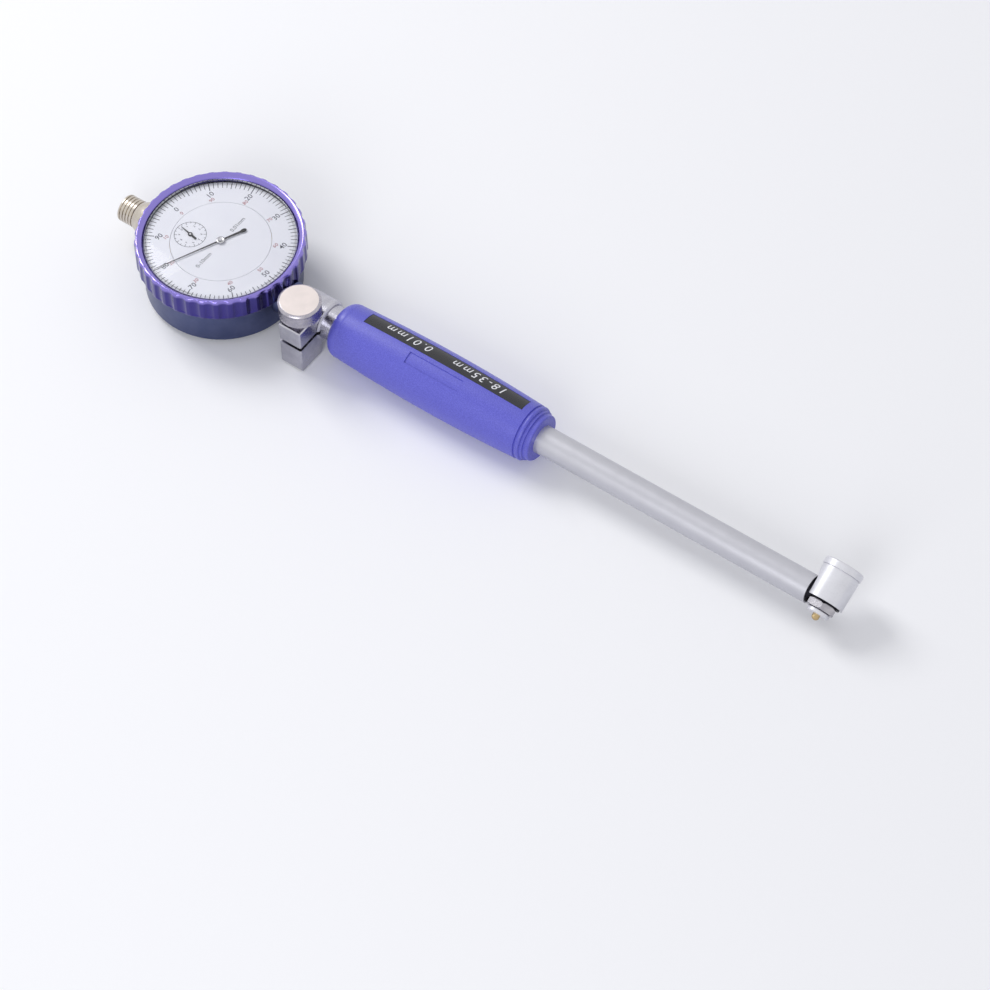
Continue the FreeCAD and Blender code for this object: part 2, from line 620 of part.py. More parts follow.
# ---- movement ------------------------------------------------------------------------------------
def pivot_holes(bottom, top, arbors):
    return [disc(PIVOT_RADIUS + RUN, bottom - 1, top + 1, x, y) for x, y in arbors]


FIRST = (FIRST_X, FIRST_Y)
CENTRE = (0.0, 0.0)
COUNTER = (COUNTER_X, COUNTER_Y)
PILLARS = tuple((across * UPPER_PLATE_RADIUS, along * UPPER_PLATE_RADIUS)
                for across, along in ((0.24, 0.76), (-0.7, 0.65), (-0.16, -0.88)))


def main_plate():
    """Round plate on the case's posts, which carries the whole movement."""
    body = disc(PLATE_RADIUS, PLATE_BOTTOM, PLATE_TOP)
    cuts = pivot_holes(PLATE_BOTTOM, PLATE_TOP, [CENTRE, COUNTER])
    cuts.append(disc(ARBOR_RADIUS + 0.3, PLATE_BOTTOM - 1, PLATE_TOP + 1, *FIRST))
    cuts += [disc(PLATE_SCREW_RADIUS, PLATE_BOTTOM - 1, PLATE_TOP + 1, *polar(POST_CIRCLE, angle))
             for angle in POST_ANGLES]
    cuts.append(disc(HAIRSPRING_STUD_RADIUS, PLATE_BOTTOM - 1, PLATE_TOP + 1, *hairspring_stud_place()))
    cuts += [disc(PLATE_WINDOW, PLATE_BOTTOM - 1, PLATE_TOP + 1, *polar(PLATE_RADIUS * 0.8, angle))
             for angle in (58, 175, 310)]
    return body.cut(cuts)


def plate_screws():
    screws = []
    for angle in POST_ANGLES:
        screw = turned((0, PLATE_BOTTOM - PLATE_SCREW_DEPTH), (PLATE_SCREW_RADIUS, PLATE_BOTTOM - PLATE_SCREW_DEPTH),
                       (PLATE_SCREW_RADIUS, PLATE_TOP), (PLATE_SCREW_HEAD_RADIUS, PLATE_TOP),
                       (PLATE_SCREW_HEAD_RADIUS, PLATE_TOP + PLATE_SCREW_HEAD_HEIGHT),
                       (0, PLATE_TOP + PLATE_SCREW_HEAD_HEIGHT))
        screw.translate(Vector(*polar(POST_CIRCLE, angle), 0))
        screws.append(screw)
    return Part.makeCompound(screws)


def plate_pillars():
    return Part.makeCompound([
        ring(PILLAR_RADIUS, PLATE_SCREW_RADIUS, PLATE_TOP, UPPER_PLATE_BOTTOM, x, y) for x, y in PILLARS])


def pillar_screws():
    screws = []
    for x, y in PILLARS:
        screw = turned((0, PLATE_TOP + 0.2), (PLATE_SCREW_RADIUS, PLATE_TOP + 0.2),
                       (PLATE_SCREW_RADIUS, UPPER_PLATE_TOP), (PLATE_SCREW_HEAD_RADIUS, UPPER_PLATE_TOP),
                       (PLATE_SCREW_HEAD_RADIUS, UPPER_PLATE_TOP + PLATE_SCREW_HEAD_HEIGHT),
                       (0, UPPER_PLATE_TOP + PLATE_SCREW_HEAD_HEIGHT))
        screw.translate(Vector(x, y, 0))
        screws.append(screw)
    return Part.makeCompound(screws)


def upper_plate():
    """Round bridge over the wheels, with a hole for each arbor."""
    body = disc(UPPER_PLATE_RADIUS, UPPER_PLATE_BOTTOM, UPPER_PLATE_TOP)
    cuts = pivot_holes(UPPER_PLATE_BOTTOM, UPPER_PLATE_TOP, [FIRST, CENTRE, COUNTER])
    cuts += [disc(PLATE_SCREW_RADIUS, UPPER_PLATE_BOTTOM - 1, UPPER_PLATE_TOP + 1, x, y) for x, y in PILLARS]
    return body.cut(cuts)


COCK_POST_RADIUS = 1.3
COCK_REACH = 4.5              # from the pinion to each post, along the gauge
COCK_BACK = 3.0               # and away from the spindle
COCK_BOTTOM = AXIS_HEIGHT - 3.6
COCK_THICKNESS = 1.0
COCK_POSTS = tuple((FIRST_X + side * COCK_REACH, FIRST_Y - COCK_BACK) for side in (-1, 1))


def pinion_cock():
    """Small bridge under the main plate that carries the lower pivot of the rack pinion."""
    top = COCK_BOTTOM + COCK_THICKNESS
    end = COCK_REACH + COCK_POST_RADIUS
    bar = box((FIRST_X - end, FIRST_X + end), (FIRST_Y - COCK_BACK - COCK_POST_RADIUS, FIRST_Y + 1.5),
              (COCK_BOTTOM, top))
    posts = [disc(COCK_POST_RADIUS, COCK_BOTTOM, PLATE_BOTTOM, x, y) for x, y in COCK_POSTS]
    return joined([bar] + posts).cut(pivot_holes(COCK_BOTTOM, top, [FIRST]))


def rack_pinion():
    """16-tooth pinion and its arbor in one piece, beside the spindle's rack."""
    teeth = gear(RACK_PINION_TEETH, 90.0, AXIS_HEIGHT - 1.4, AXIS_HEIGHT + 1.4, *FIRST)
    stub = disc(PIVOT_RADIUS, COCK_BOTTOM, UPPER_PLATE_TOP, *FIRST)
    shaft = disc(ARBOR_RADIUS, COCK_BOTTOM + COCK_THICKNESS + SEAT, UPPER_PLATE_BOTTOM - SEAT, *FIRST)
    return joined([stub, shaft, teeth])


def first_wheel():
    return spoked_wheel(FIRST_ANGLE + 180, FIRST_WHEEL_BOTTOM, *FIRST)


def centre_pinion():
    """10-tooth pinion whose arbor carries the main pointer; a gap faces the first wheel."""
    half_pitch = 180.0 / CENTRE_PINION_TEETH
    teeth = gear(CENTRE_PINION_TEETH, FIRST_ANGLE + half_pitch, FIRST_WHEEL_BOTTOM - 0.2,
                 UPPER_PLATE_BOTTOM - 0.2, 0, 0)
    pivot = disc(PIVOT_RADIUS, PLATE_BOTTOM, MAIN_POINTER_BOTTOM + POINTER_THICKNESS + 0.3)
    return joined([pivot, teeth])


def counter_wheel():
    """Wheel that turns once for ten turns of the centre pinion, phased into its teeth."""
    step = 360.0 / CENTRE_PINION_TEETH
    past_gap = (COUNTER_ANGLE - FIRST_ANGLE) % step
    phase = COUNTER_ANGLE + 180 + past_gap * CENTRE_PINION_TEETH / WHEEL_TEETH
    return spoked_wheel(phase, COUNTER_WHEEL_BOTTOM, *COUNTER)


def counter_arbor():
    stub = disc(PIVOT_RADIUS, PLATE_BOTTOM, UPPER_PLATE_TOP + 0.3, *COUNTER)
    shaft = disc(ARBOR_RADIUS, PLATE_TOP + SEAT, UPPER_PLATE_BOTTOM - SEAT, *COUNTER)
    tip = disc(PIVOT_RADIUS - 0.1, UPPER_PLATE_TOP, COUNTER_POINTER_BOTTOM + POINTER_THICKNESS, *COUNTER)
    return joined([stub, shaft, tip])


HAIRSPRING_INNER = 0.9
HAIRSPRING_OUTER = 4.6
HAIRSPRING_TURNS = 4
HAIRSPRING_HEIGHT = 0.5
HAIRSPRING_STRIP = 0.12
HAIRSPRING_STUD_RADIUS = 0.45


def hairspring_stud_place():
    return polar(HAIRSPRING_OUTER + HAIRSPRING_STUD_RADIUS + 0.1, 0, *COUNTER)


def hairspring():
    """Flat spiral strip from the counter arbor out to its stud, which takes up the backlash."""
    steps = 16 * HAIRSPRING_TURNS
    inner, outer = [], []
    for index in range(steps + 1):
        share = index / steps
        radius = HAIRSPRING_INNER + (HAIRSPRING_OUTER - HAIRSPRING_INNER) * share
        angle = 360.0 * HAIRSPRING_TURNS * share
        inner.append(polar(radius, angle, *COUNTER))
        outer.append(polar(radius + HAIRSPRING_STRIP, angle, *COUNTER))
    return prism(inner + outer[::-1], HAIRSPRING_BOTTOM, HAIRSPRING_BOTTOM + HAIRSPRING_HEIGHT)


def hairspring_stud():
    return disc(HAIRSPRING_STUD_RADIUS, PLATE_BOTTOM, HAIRSPRING_BOTTOM + HAIRSPRING_HEIGHT + 0.2,
                *hairspring_stud_place())


# ---- spindle, stem and cap -----------------------------------------------------------------------
RACK_SPARE_TEETH = 3          # beyond those that pass the pinion, at each end
RACK_TEETH = math.ceil(SPINDLE_TRAVEL / RACK_PITCH) + 2 * RACK_SPARE_TEETH
CONTACT_THREAD_RADIUS = 1.2
CONTACT_THREAD_LENGTH = 4.0
GUIDE_PIN_X = SPINDLE_TRAVEL + 2.9 - CASE_BORE
GUIDE_PIN_RADIUS = 0.8
GUIDE_PIN_LENGTH = 6.2        # below the spindle's axis
GUIDE_TOP = AXIS_HEIGHT - 4.1
SPRING_PIN_RADIUS = 0.6


def rack_gap(index):
    """Cutter for one gap of the rack; the gap of index 0 takes the pinion's level tooth."""
    middle = FIRST_X + index * RACK_PITCH
    root_half = RACK_PITCH * (0.5 - TOOTH_SHARE / 2 - 0.06)
    mouth_half = RACK_PITCH * (0.5 - TOOTH_SHARE / 2 + 0.11)
    root = -(RACK_LINE - DEDENDUM)
    mouth = -(RACK_LINE + ADDENDUM)
    return prism([(middle - root_half, root), (middle + root_half, root), (middle + mouth_half, mouth),
                  (middle + mouth_half, mouth - 1), (middle - mouth_half, mouth - 1),
                  (middle - mouth_half, mouth)], AXIS_HEIGHT - 3, AXIS_HEIGHT + 3)


def spindle():
    """Measuring spindle with a rack on its flat side and tapped for the contact point."""
    body = on_gauge_axis(disc(SPINDLE_RADIUS, SPINDLE_TOP, SPINDLE_REACH))
    low = FIRST_X - (RACK_SPARE_TEETH + 1) * RACK_PITCH
    high = FIRST_X + (RACK_TEETH - RACK_SPARE_TEETH) * RACK_PITCH
    tip_line = -(RACK_LINE + ADDENDUM)
    flat = box((low, high), (tip_line - 5, tip_line), (AXIS_HEIGHT - 3, AXIS_HEIGHT + 3))
    gaps = [rack_gap(index) for index in range(-RACK_SPARE_TEETH, RACK_TEETH - RACK_SPARE_TEETH)]
    tapped = on_gauge_axis(disc(CONTACT_THREAD_RADIUS, SPINDLE_REACH - CONTACT_THREAD_LENGTH - 0.5,
                                SPINDLE_REACH + 1))
    pin_hole = disc(GUIDE_PIN_RADIUS, AXIS_HEIGHT - SPINDLE_RADIUS - 1, AXIS_HEIGHT + SPINDLE_RADIUS + 1,
                    GUIDE_PIN_X)
    return body.cut([flat, tapped, pin_hole] + gaps)


def guide_pin():
    """Cross pin that keeps the spindle from turning and takes the pull of its spring."""
    return disc(GUIDE_PIN_RADIUS, AXIS_HEIGHT - GUIDE_PIN_LENGTH, AXIS_HEIGHT + SPINDLE_RADIUS, GUIDE_PIN_X)


def spindle_guide():
    """Slotted block fixed on the case's flange; the guide pin runs in its slot."""
    half_slot = GUIDE_PIN_RADIUS + RUN
    bottom = COVER_THICKNESS + COVER_FLANGE_THICKNESS
    low = GUIDE_PIN_X - GUIDE_PIN_RADIUS - SPINDLE_TRAVEL - 0.5
    body = box((low - 0.8, GUIDE_PIN_X + 2.5), (-3.2, 3.2), (bottom, GUIDE_TOP))
    slot = box((low, GUIDE_PIN_X + half_slot + 0.02), (-half_slot, half_slot), (bottom + 1.0, GUIDE_TOP + 1))
    return body.cut(slot)


def spindle_spring():
    """Extension spring from the case to the guide pin, which pushes the spindle out."""
    spring = coil(SPINDLE_SPRING_RADIUS, SPINDLE_SPRING_WIRE, SPINDLE_SPRING_LENGTH, SPINDLE_SPRING_COILS)
    spring = placed(spring, Placement(Vector(SPINDLE_SPRING_START, SPINDLE_SPRING_Y, SPRING_HEIGHT),
                                      Rotation(Vector(0, 1, 0), 90)))
    return spring


SPINDLE_SPRING_RADIUS = 1.4
SPINDLE_SPRING_WIRE = 0.35
SPINDLE_SPRING_COILS = 8
SPINDLE_SPRING_Y = 6.0
SPRING_HEIGHT = AXIS_HEIGHT - 3.2
SPRING_POST_X = CASE_BORE - 5.9
SPINDLE_SPRING_START = GUIDE_PIN_X + SPRING_PIN_RADIUS + 0.05
SPINDLE_SPRING_LENGTH = SPRING_POST_X - SPRING_PIN_RADIUS - 0.05 - SPINDLE_SPRING_START


def spring_arm():
    """Crosswise arm pressed on the guide pin; the spring hooks on its end."""
    hub = disc(1.7, SPRING_HEIGHT - 0.5, SPRING_HEIGHT + 0.5, GUIDE_PIN_X)
    bar = box((GUIDE_PIN_X - 0.6, GUIDE_PIN_X + 0.6), (0, SPINDLE_SPRING_Y + 0.6),
              (SPRING_HEIGHT - 0.5, SPRING_HEIGHT + 0.5))
    post = disc(SPRING_PIN_RADIUS, SPRING_HEIGHT - 1.2, SPRING_HEIGHT + 1.2, GUIDE_PIN_X, SPINDLE_SPRING_Y)
    return joined([hub, bar, post]).cut(disc(GUIDE_PIN_RADIUS, 0, AXIS_HEIGHT, GUIDE_PIN_X))


def spring_post():
    """Fixed pin on the cover flange that anchors the spindle's spring."""
    return disc(SPRING_PIN_RADIUS, COVER_THICKNESS, SPRING_HEIGHT + 1.2, SPRING_POST_X, SPINDLE_SPRING_Y)


def contact_point():
    """Screwed-in tip of the spindle, which rests on the push rod's pad."""
    end = CONTACT_END
    return on_gauge_axis(turned(
        (0, SPINDLE_REACH - CONTACT_THREAD_LENGTH), (CONTACT_THREAD_RADIUS, SPINDLE_REACH - CONTACT_THREAD_LENGTH),
        (CONTACT_THREAD_RADIUS, SPINDLE_REACH), (SPINDLE_RADIUS, SPINDLE_REACH),
        (SPINDLE_RADIUS, SPINDLE_REACH + 2.6), (1.1, end - 3.0), (1.1, end - 0.6), dome(1.1, end - 0.6, 0.6)))


def stem():
    return on_gauge_axis(turned(
        (STEM_BORE, CASE_BORE - 0.4), (STEM_RADIUS, CASE_BORE - 0.4), (STEM_RADIUS, STEM_END - 0.5),
        (STEM_RADIUS - 0.5, STEM_END), (STEM_BORE, STEM_END)))


def stem_bush():
    return on_gauge_axis(ring(STEM_BORE, SPINDLE_RADIUS + RUN, STEM_END - BUSH_LENGTH, STEM_END))


def top_bush():
    return on_gauge_axis(ring(TOP_BUSH_RADIUS, SPINDLE_RADIUS + RUN, BOSS_END - 3.0, BOSS_END - 3.0 + BUSH_LENGTH))


def dust_cap():
    """Grooved screw cap over the spindle's top end."""
    pitch = (CAP_LENGTH - 0.9) / CAP_RINGS
    steps = [(CAP_SPIGOT_RADIUS, BOSS_END), (CAP_RADIUS, BOSS_END)]
    for index in range(CAP_RINGS):
        end = BOSS_END - pitch * (index + 1)
        steps += [(CAP_RADIUS, end + 0.55), (CAP_RADIUS - CAP_GROOVE, end + 0.4), (CAP_RADIUS - CAP_GROOVE, end + 0.15),
                  (CAP_RADIUS, end)]
    steps += [(CAP_RADIUS, CAP_END + 0.7), ((CAP_RADIUS - 0.2, CAP_END + 0.2), (CAP_RADIUS - 0.7, CAP_END)),
              (0, CAP_END), (0, CAP_END + CAP_WALL), (SPINDLE_RADIUS + 0.5, CAP_END + CAP_WALL),
              (SPINDLE_RADIUS + 0.5, BOSS_END - 3.0), (CAP_SPIGOT_RADIUS, BOSS_END - 3.0)]
    return on_gauge_axis(turned(*steps))


# ---- clamp and grip ------------------------------------------------------------------------------
def clamp_collar():
    """Split collar with its two jaws, and the neck that holds the tube inside the grip."""
    body = on_gauge_axis(turned(
        (0, COLLAR_START), (COLLAR_RADIUS - 0.5, COLLAR_START), (COLLAR_RADIUS, COLLAR_START + 0.5),
        (COLLAR_RADIUS, COLLAR_END - COLLAR_CHAMFER), (COLLAR_RADIUS - COLLAR_CHAMFER, COLLAR_END),
        (NECK_RADIUS, COLLAR_END), (NECK_RADIUS, NECK_END), (0, NECK_END)))
    lug = box((LUG_START, LUG_START + LUG_WIDTH), (-LUG_REACH, -LUG_INNER), (LUG_BOTTOM, LUG_TOP))
    lug = lug.makeChamfer(LUG_CHAMFER, [edge for edge in lug.Edges
                                        if abs(edge.CenterOfMass.y + LUG_REACH) < 0.01
                                        or abs(edge.CenterOfMass.z - LUG_TOP) < 0.01])
    slit = box((COLLAR_START - 1, COLLAR_END), (-LUG_REACH - 1, -STEM_RADIUS / 2),
               (SLIT_MIDDLE - SLIT_HEIGHT / 2, SLIT_MIDDLE + SLIT_HEIGHT / 2))
    hole = (LUG_MIDDLE, -CLAMP_SCREW_OFFSET)
    web = box((LUG_START, LUG_START + LUG_WIDTH), (-LUG_INNER - 1, 0),
              (AXIS_HEIGHT - COLLAR_RADIUS + 1, AXIS_HEIGHT + COLLAR_RADIUS - 1))
    cuts = [on_gauge_axis(disc(STEM_RADIUS + 0.01, COLLAR_START - 1, TUBE_START + 1)),
            on_gauge_axis(disc(TUBE_RADIUS, TUBE_START, NECK_END + 1)), slit,
            disc(CLAMP_SCREW_RADIUS + RUN, LUG_BOTTOM - 1, SLIT_MIDDLE, *hole),
            disc(CLAMP_SCREW_RADIUS + 0.2, SLIT_MIDDLE, LUG_TOP + 1, *hole)]
    return joined([body, lug, web]).cut(cuts)


def clamp_screw():
    """Knurled-head screw that draws the jaws together."""
    under = LUG_TOP + SEAT
    knob = under + KNOB_BOSS_HEIGHT
    top = knob + KNOB_SIDE
    body = turned(
        (0, LUG_BOTTOM + 2), (CLAMP_SCREW_RADIUS, LUG_BOTTOM + 2), (CLAMP_SCREW_RADIUS, under),
        (KNOB_BOSS_RADIUS, under), (KNOB_BOSS_RADIUS, knob), (KNOB_RADIUS - 0.3, knob),
        (KNOB_RADIUS, knob + 0.3), (KNOB_RADIUS, top), (KNOB_RADIUS - KNOB_BEVEL * 1.25, top + KNOB_BEVEL),
        (0, top + KNOB_BEVEL))
    body.translate(Vector(LUG_MIDDLE, -CLAMP_SCREW_OFFSET, 0))
    return body


def barrel(offset, start, end):
    """Steps of the grip's swelling side between two stations, offset inward."""
    length = GRIP_END - GRIP_TAIL - GRIP_START - GRIP_ROUND
    middle = GRIP_START + GRIP_ROUND + length / 2
    swell = GRIP_RADIUS - GRIP_END_RADIUS
    curve = (length ** 2 / 4 + swell ** 2) / (2 * swell)

    def radius(x):
        return GRIP_RADIUS - curve + math.sqrt(curve ** 2 - (x - middle) ** 2) - offset

    half = (start + end) / 2
    return (radius(start), start), ((radius(half), half), (radius(end), end))


def grip_sector(start, length, angle, spread, depth, height):
    """Piece of shell that follows the grip's side, between two depths under it."""
    low = barrel(depth, start, start + length)
    high = barrel(height, start + length, start)
    body = turned(low[0], low[1], high[0], high[1], angle=spread)
    body = on_gauge_axis(body)
    body.rotate(Vector(0, 0, AXIS_HEIGHT), Vector(1, 0, 0), 180 - angle - spread / 2)
    return body


def grip():
    """Moulded grip with a rounded top end, a grooved lower end and two shallow recesses."""
    side = barrel(0, GRIP_START + GRIP_ROUND, GRIP_END - GRIP_TAIL)
    tail = GRIP_END - GRIP_TAIL
    low = GRIP_END_RADIUS
    body = on_gauge_axis(turned(
        (NECK_RADIUS, GRIP_START),
        (NECK_RADIUS + 0.4, GRIP_START),
        ((NECK_RADIUS + 0.4 + (low - NECK_RADIUS - 0.4) * 0.72, GRIP_START + GRIP_ROUND * 0.3), side[0]),
        side[1],
        (low - 0.5, tail + 0.2), (low - 0.5, tail + 0.6), (low - 0.15, tail + 0.8),
        ((low - 0.05, tail + 1.4), (low - 0.3, tail + 2.0)), (low - 0.9, tail + 2.2), (low - 0.9, tail + 3.1),
        (low - 1.5, tail + 3.3), (low - 1.5, GRIP_END - 0.6),
        ((low - 1.65, GRIP_END - 0.2), (low - 2.1, GRIP_END)),
        (TUBE_RADIUS, GRIP_END), (TUBE_RADIUS, NECK_END), (NECK_RADIUS, NECK_END)))
    recess = grip_sector(LABEL_START, LABEL_LENGTH, LABEL_ANGLE, LABEL_SPREAD, LABEL_DEPTH, -1)
    panel = grip_sector(PANEL_START, PANEL_LENGTH, PANEL_ANGLE, PANEL_SPREAD, LABEL_DEPTH, -1)
    return body.cut([recess, panel])


def range_label():
    """Thin strip in the grip's long recess, a little short of its walls."""
    return grip_sector(LABEL_START + 0.15, LABEL_LENGTH - 0.3, LABEL_ANGLE, LABEL_SPREAD - 1.2, LABEL_DEPTH,
                       LABEL_DEPTH - LABEL_THICKNESS)


# ---- tube and rod --------------------------------------------------------------------------------
def outer_tube():
    return on_gauge_axis(ring(TUBE_RADIUS, TUBE_BORE, TUBE_START, TUBE_END))


def rod_pad():
    """Hardened cap on the push rod, under the indicator's contact point."""
    return on_gauge_axis(turned(
        (0, ROD_START), (ROD_PAD_RADIUS - 0.4, ROD_START), (ROD_PAD_RADIUS, ROD_START + 0.4),
        (ROD_PAD_RADIUS, ROD_PAD_END), (ROD_RADIUS, ROD_PAD_END), (ROD_RADIUS, ROD_START + 2), (0, ROD_START + 2)))


def push_rod():
    """Rod from the pad to the bell crank, reduced where it enters the head."""
    step = HEAD_X - CORE_RADIUS - 1.2
    return on_gauge_axis(turned(
        (0, ROD_START + 2), (ROD_RADIUS, ROD_START + 2), (ROD_RADIUS, step), (ROD_TIP_RADIUS, step + 0.5),
        (ROD_TIP_RADIUS, ROD_END), (0, ROD_END)))


def rod_bush(start):
    return on_gauge_axis(ring(TUBE_BORE, ROD_RADIUS + RUN, start, start + ROD_BUSH_LENGTH))


def rod_clip():
    """Snap ring on the rod that takes the push of the return spring."""
    body = ring(ROD_CLIP_RADIUS, ROD_RADIUS, ROD_CLIP_START, ROD_CLIP_START + ROD_CLIP_THICKNESS)
    mouth = box((0, ROD_CLIP_RADIUS + 1), (-0.6, 0.6), (ROD_CLIP_START - 1, ROD_CLIP_START + 3))
    return on_gauge_axis(body.cut(mouth))


def rod_spring():
    spring = coil(ROD_RADIUS + 1.1, ROD_SPRING_WIRE, ROD_SPRING_LENGTH, ROD_SPRING_COILS)
    spring.translate(Vector(0, 0, ROD_SPRING_START))
    return on_gauge_axis(spring)


# ---- measuring head ------------------------------------------------------------------------------
def head_body():
    """Core along the measuring axis, with the neck and spigot that fix it to the tube."""
    core = disc(CORE_RADIUS, CORE_BOTTOM, CORE_TOP)
    neck = turned((0, TUBE_END - SPIGOT_LENGTH), (TUBE_BORE, TUBE_END - SPIGOT_LENGTH), (TUBE_BORE, TUBE_END),
                  (HEAD_NECK_RADIUS, TUBE_END), (HEAD_NECK_RADIUS, HEAD_X - CORE_RADIUS / 2),
                  (0, HEAD_X - CORE_RADIUS / 2))
    body = joined([in_head(core), on_gauge_axis(neck)])
    half = CRANK_THICKNESS / 2 + 0.2
    cavity_top = PLUNGER_BUSH_BOTTOM
    cavity_bottom = PLUNGER_INNER_END - PLUNGER_TRAVEL - 1.0
    hub_room = CRANK_HUB_RADIUS + 0.3
    crank_room = box((CRANK_X - hub_room, CRANK_PAD_RADIUS + 0.7), (-half, half),
                     (-CRANK_PAD_RADIUS - 0.3, CRANK_Z + hub_room + 0.4))
    local = [
        crank_room,
        disc(PLUNGER_FLANGE_RADIUS + 0.15, cavity_bottom, cavity_top + 1),
        disc(PLUNGER_BUSH_RADIUS, PLUNGER_BUSH_BOTTOM, CORE_TOP + 1),
        ring(BRIDGE_SPRING_RADIUS + SPRING_GROOVE_WIDTH / 2, BRIDGE_SPRING_RADIUS - SPRING_GROOVE_WIDTH / 2,
             CORE_TOP - SPRING_GROOVE_DEPTH, CORE_TOP + 1),
        disc(ANVIL_SHANK_RADIUS, CORE_BOTTOM - 1, CORE_BOTTOM + ANVIL_THREAD_DEPTH + 0.1),
        disc(NUT_FLATS / math.sqrt(3) + 0.2, NUT_BOTTOM - 0.5, CORE_BOTTOM),
        crank_pin_bore(), stop_screw_bore(STOP_SCREW_RADIUS)]
    rod_bore = [disc(ROD_RADIUS + RUN, TUBE_END - SPIGOT_LENGTH - 1, HEAD_X - CORE_RADIUS),
                disc(ROD_TIP_RADIUS + 0.15, HEAD_X - CORE_RADIUS - 1, HEAD_X + CRANK_X + CRANK_PAD_RADIUS)]
    return body.cut([in_head(shape) for shape in local] + [on_gauge_axis(shape) for shape in rod_bore])


CRANK_PIN_LENGTH = 8.0


def crank_pin_bore():
    return Part.makeCylinder(CRANK_PIN_RADIUS, CRANK_PIN_LENGTH + 4, Vector(CRANK_X, -CRANK_PIN_LENGTH / 2 - 2, CRANK_Z),
                             Vector(0, 1, 0))


def crank_pin():
    return in_head(Part.makeCylinder(CRANK_PIN_RADIUS, CRANK_PIN_LENGTH,
                                     Vector(CRANK_X, -CRANK_PIN_LENGTH / 2, CRANK_Z), Vector(0, 1, 0)))


def stop_screw_bore(radius, inner=0.0, outer=3.0):
    """Radial cylinder on the underside of the head, from a depth in the core to a height above it."""
    start = CORE_RADIUS - STOP_SCREW_DEPTH + inner
    return Part.makeCylinder(radius, STOP_SCREW_DEPTH - inner + outer, Vector(0, start, STOP_SCREW_HEIGHT),
                             Vector(0, 1, 0))


def bell_crank():
    """Right-angled lever that turns the plunger's travel into the rod's, drawn half way through its swing."""
    half = CRANK_THICKNESS / 2

    def round_at(radius, x, z):
        return Part.makeCylinder(radius, CRANK_THICKNESS, Vector(x, -half, z), Vector(0, 1, 0))

    width = CRANK_ARM_WIDTH / 2
    body = joined([
        round_at(CRANK_HUB_RADIUS, CRANK_X, CRANK_Z), round_at(CRANK_PAD_RADIUS, CRANK_X + CRANK_ARM, CRANK_Z),
        round_at(CRANK_PAD_RADIUS, CRANK_X, CRANK_Z - CRANK_ARM),
        box((CRANK_X, CRANK_X + CRANK_ARM), (-half, half), (CRANK_Z - width, CRANK_Z + width)),
        box((CRANK_X - width, CRANK_X + width), (-half, half), (CRANK_Z - CRANK_ARM, CRANK_Z))])
    body = body.cut(Part.makeCylinder(CRANK_PIN_RADIUS + RUN, CRANK_THICKNESS + 2, Vector(CRANK_X, -half - 1, CRANK_Z),
                                      Vector(0, 1, 0)))
    body.rotate(Vector(CRANK_X, 0, CRANK_Z), Vector(0, 1, 0), -CRANK_SWING / 2)
    return in_head(body)


def plunger():
    """Measuring plunger: inner stub, stop flange and a shank with a seat for its ball."""
    flange_bottom = PLUNGER_FLANGE_TOP - PLUNGER_FLANGE_THICKNESS
    body = turned(
        (0, PLUNGER_INNER_END), (PLUNGER_STUB_RADIUS, PLUNGER_INNER_END), (PLUNGER_STUB_RADIUS, flange_bottom),
        (PLUNGER_FLANGE_RADIUS, flange_bottom), (PLUNGER_FLANGE_RADIUS, PLUNGER_FLANGE_TOP),
        (PLUNGER_RADIUS, PLUNGER_FLANGE_TOP), (PLUNGER_RADIUS, BALL_CENTRE), (0, BALL_CENTRE))
    return in_head(body.cut(Part.makeSphere(BALL_RADIUS, Vector(0, 0, BALL_CENTRE))))


def contact_ball():
    return in_head(Part.makeSphere(BALL_RADIUS, Vector(0, 0, BALL_CENTRE)))


def plunger_bush():
    return in_head(ring(PLUNGER_BUSH_RADIUS, PLUNGER_RADIUS + RUN, PLUNGER_BUSH_BOTTOM, CORE_TOP))


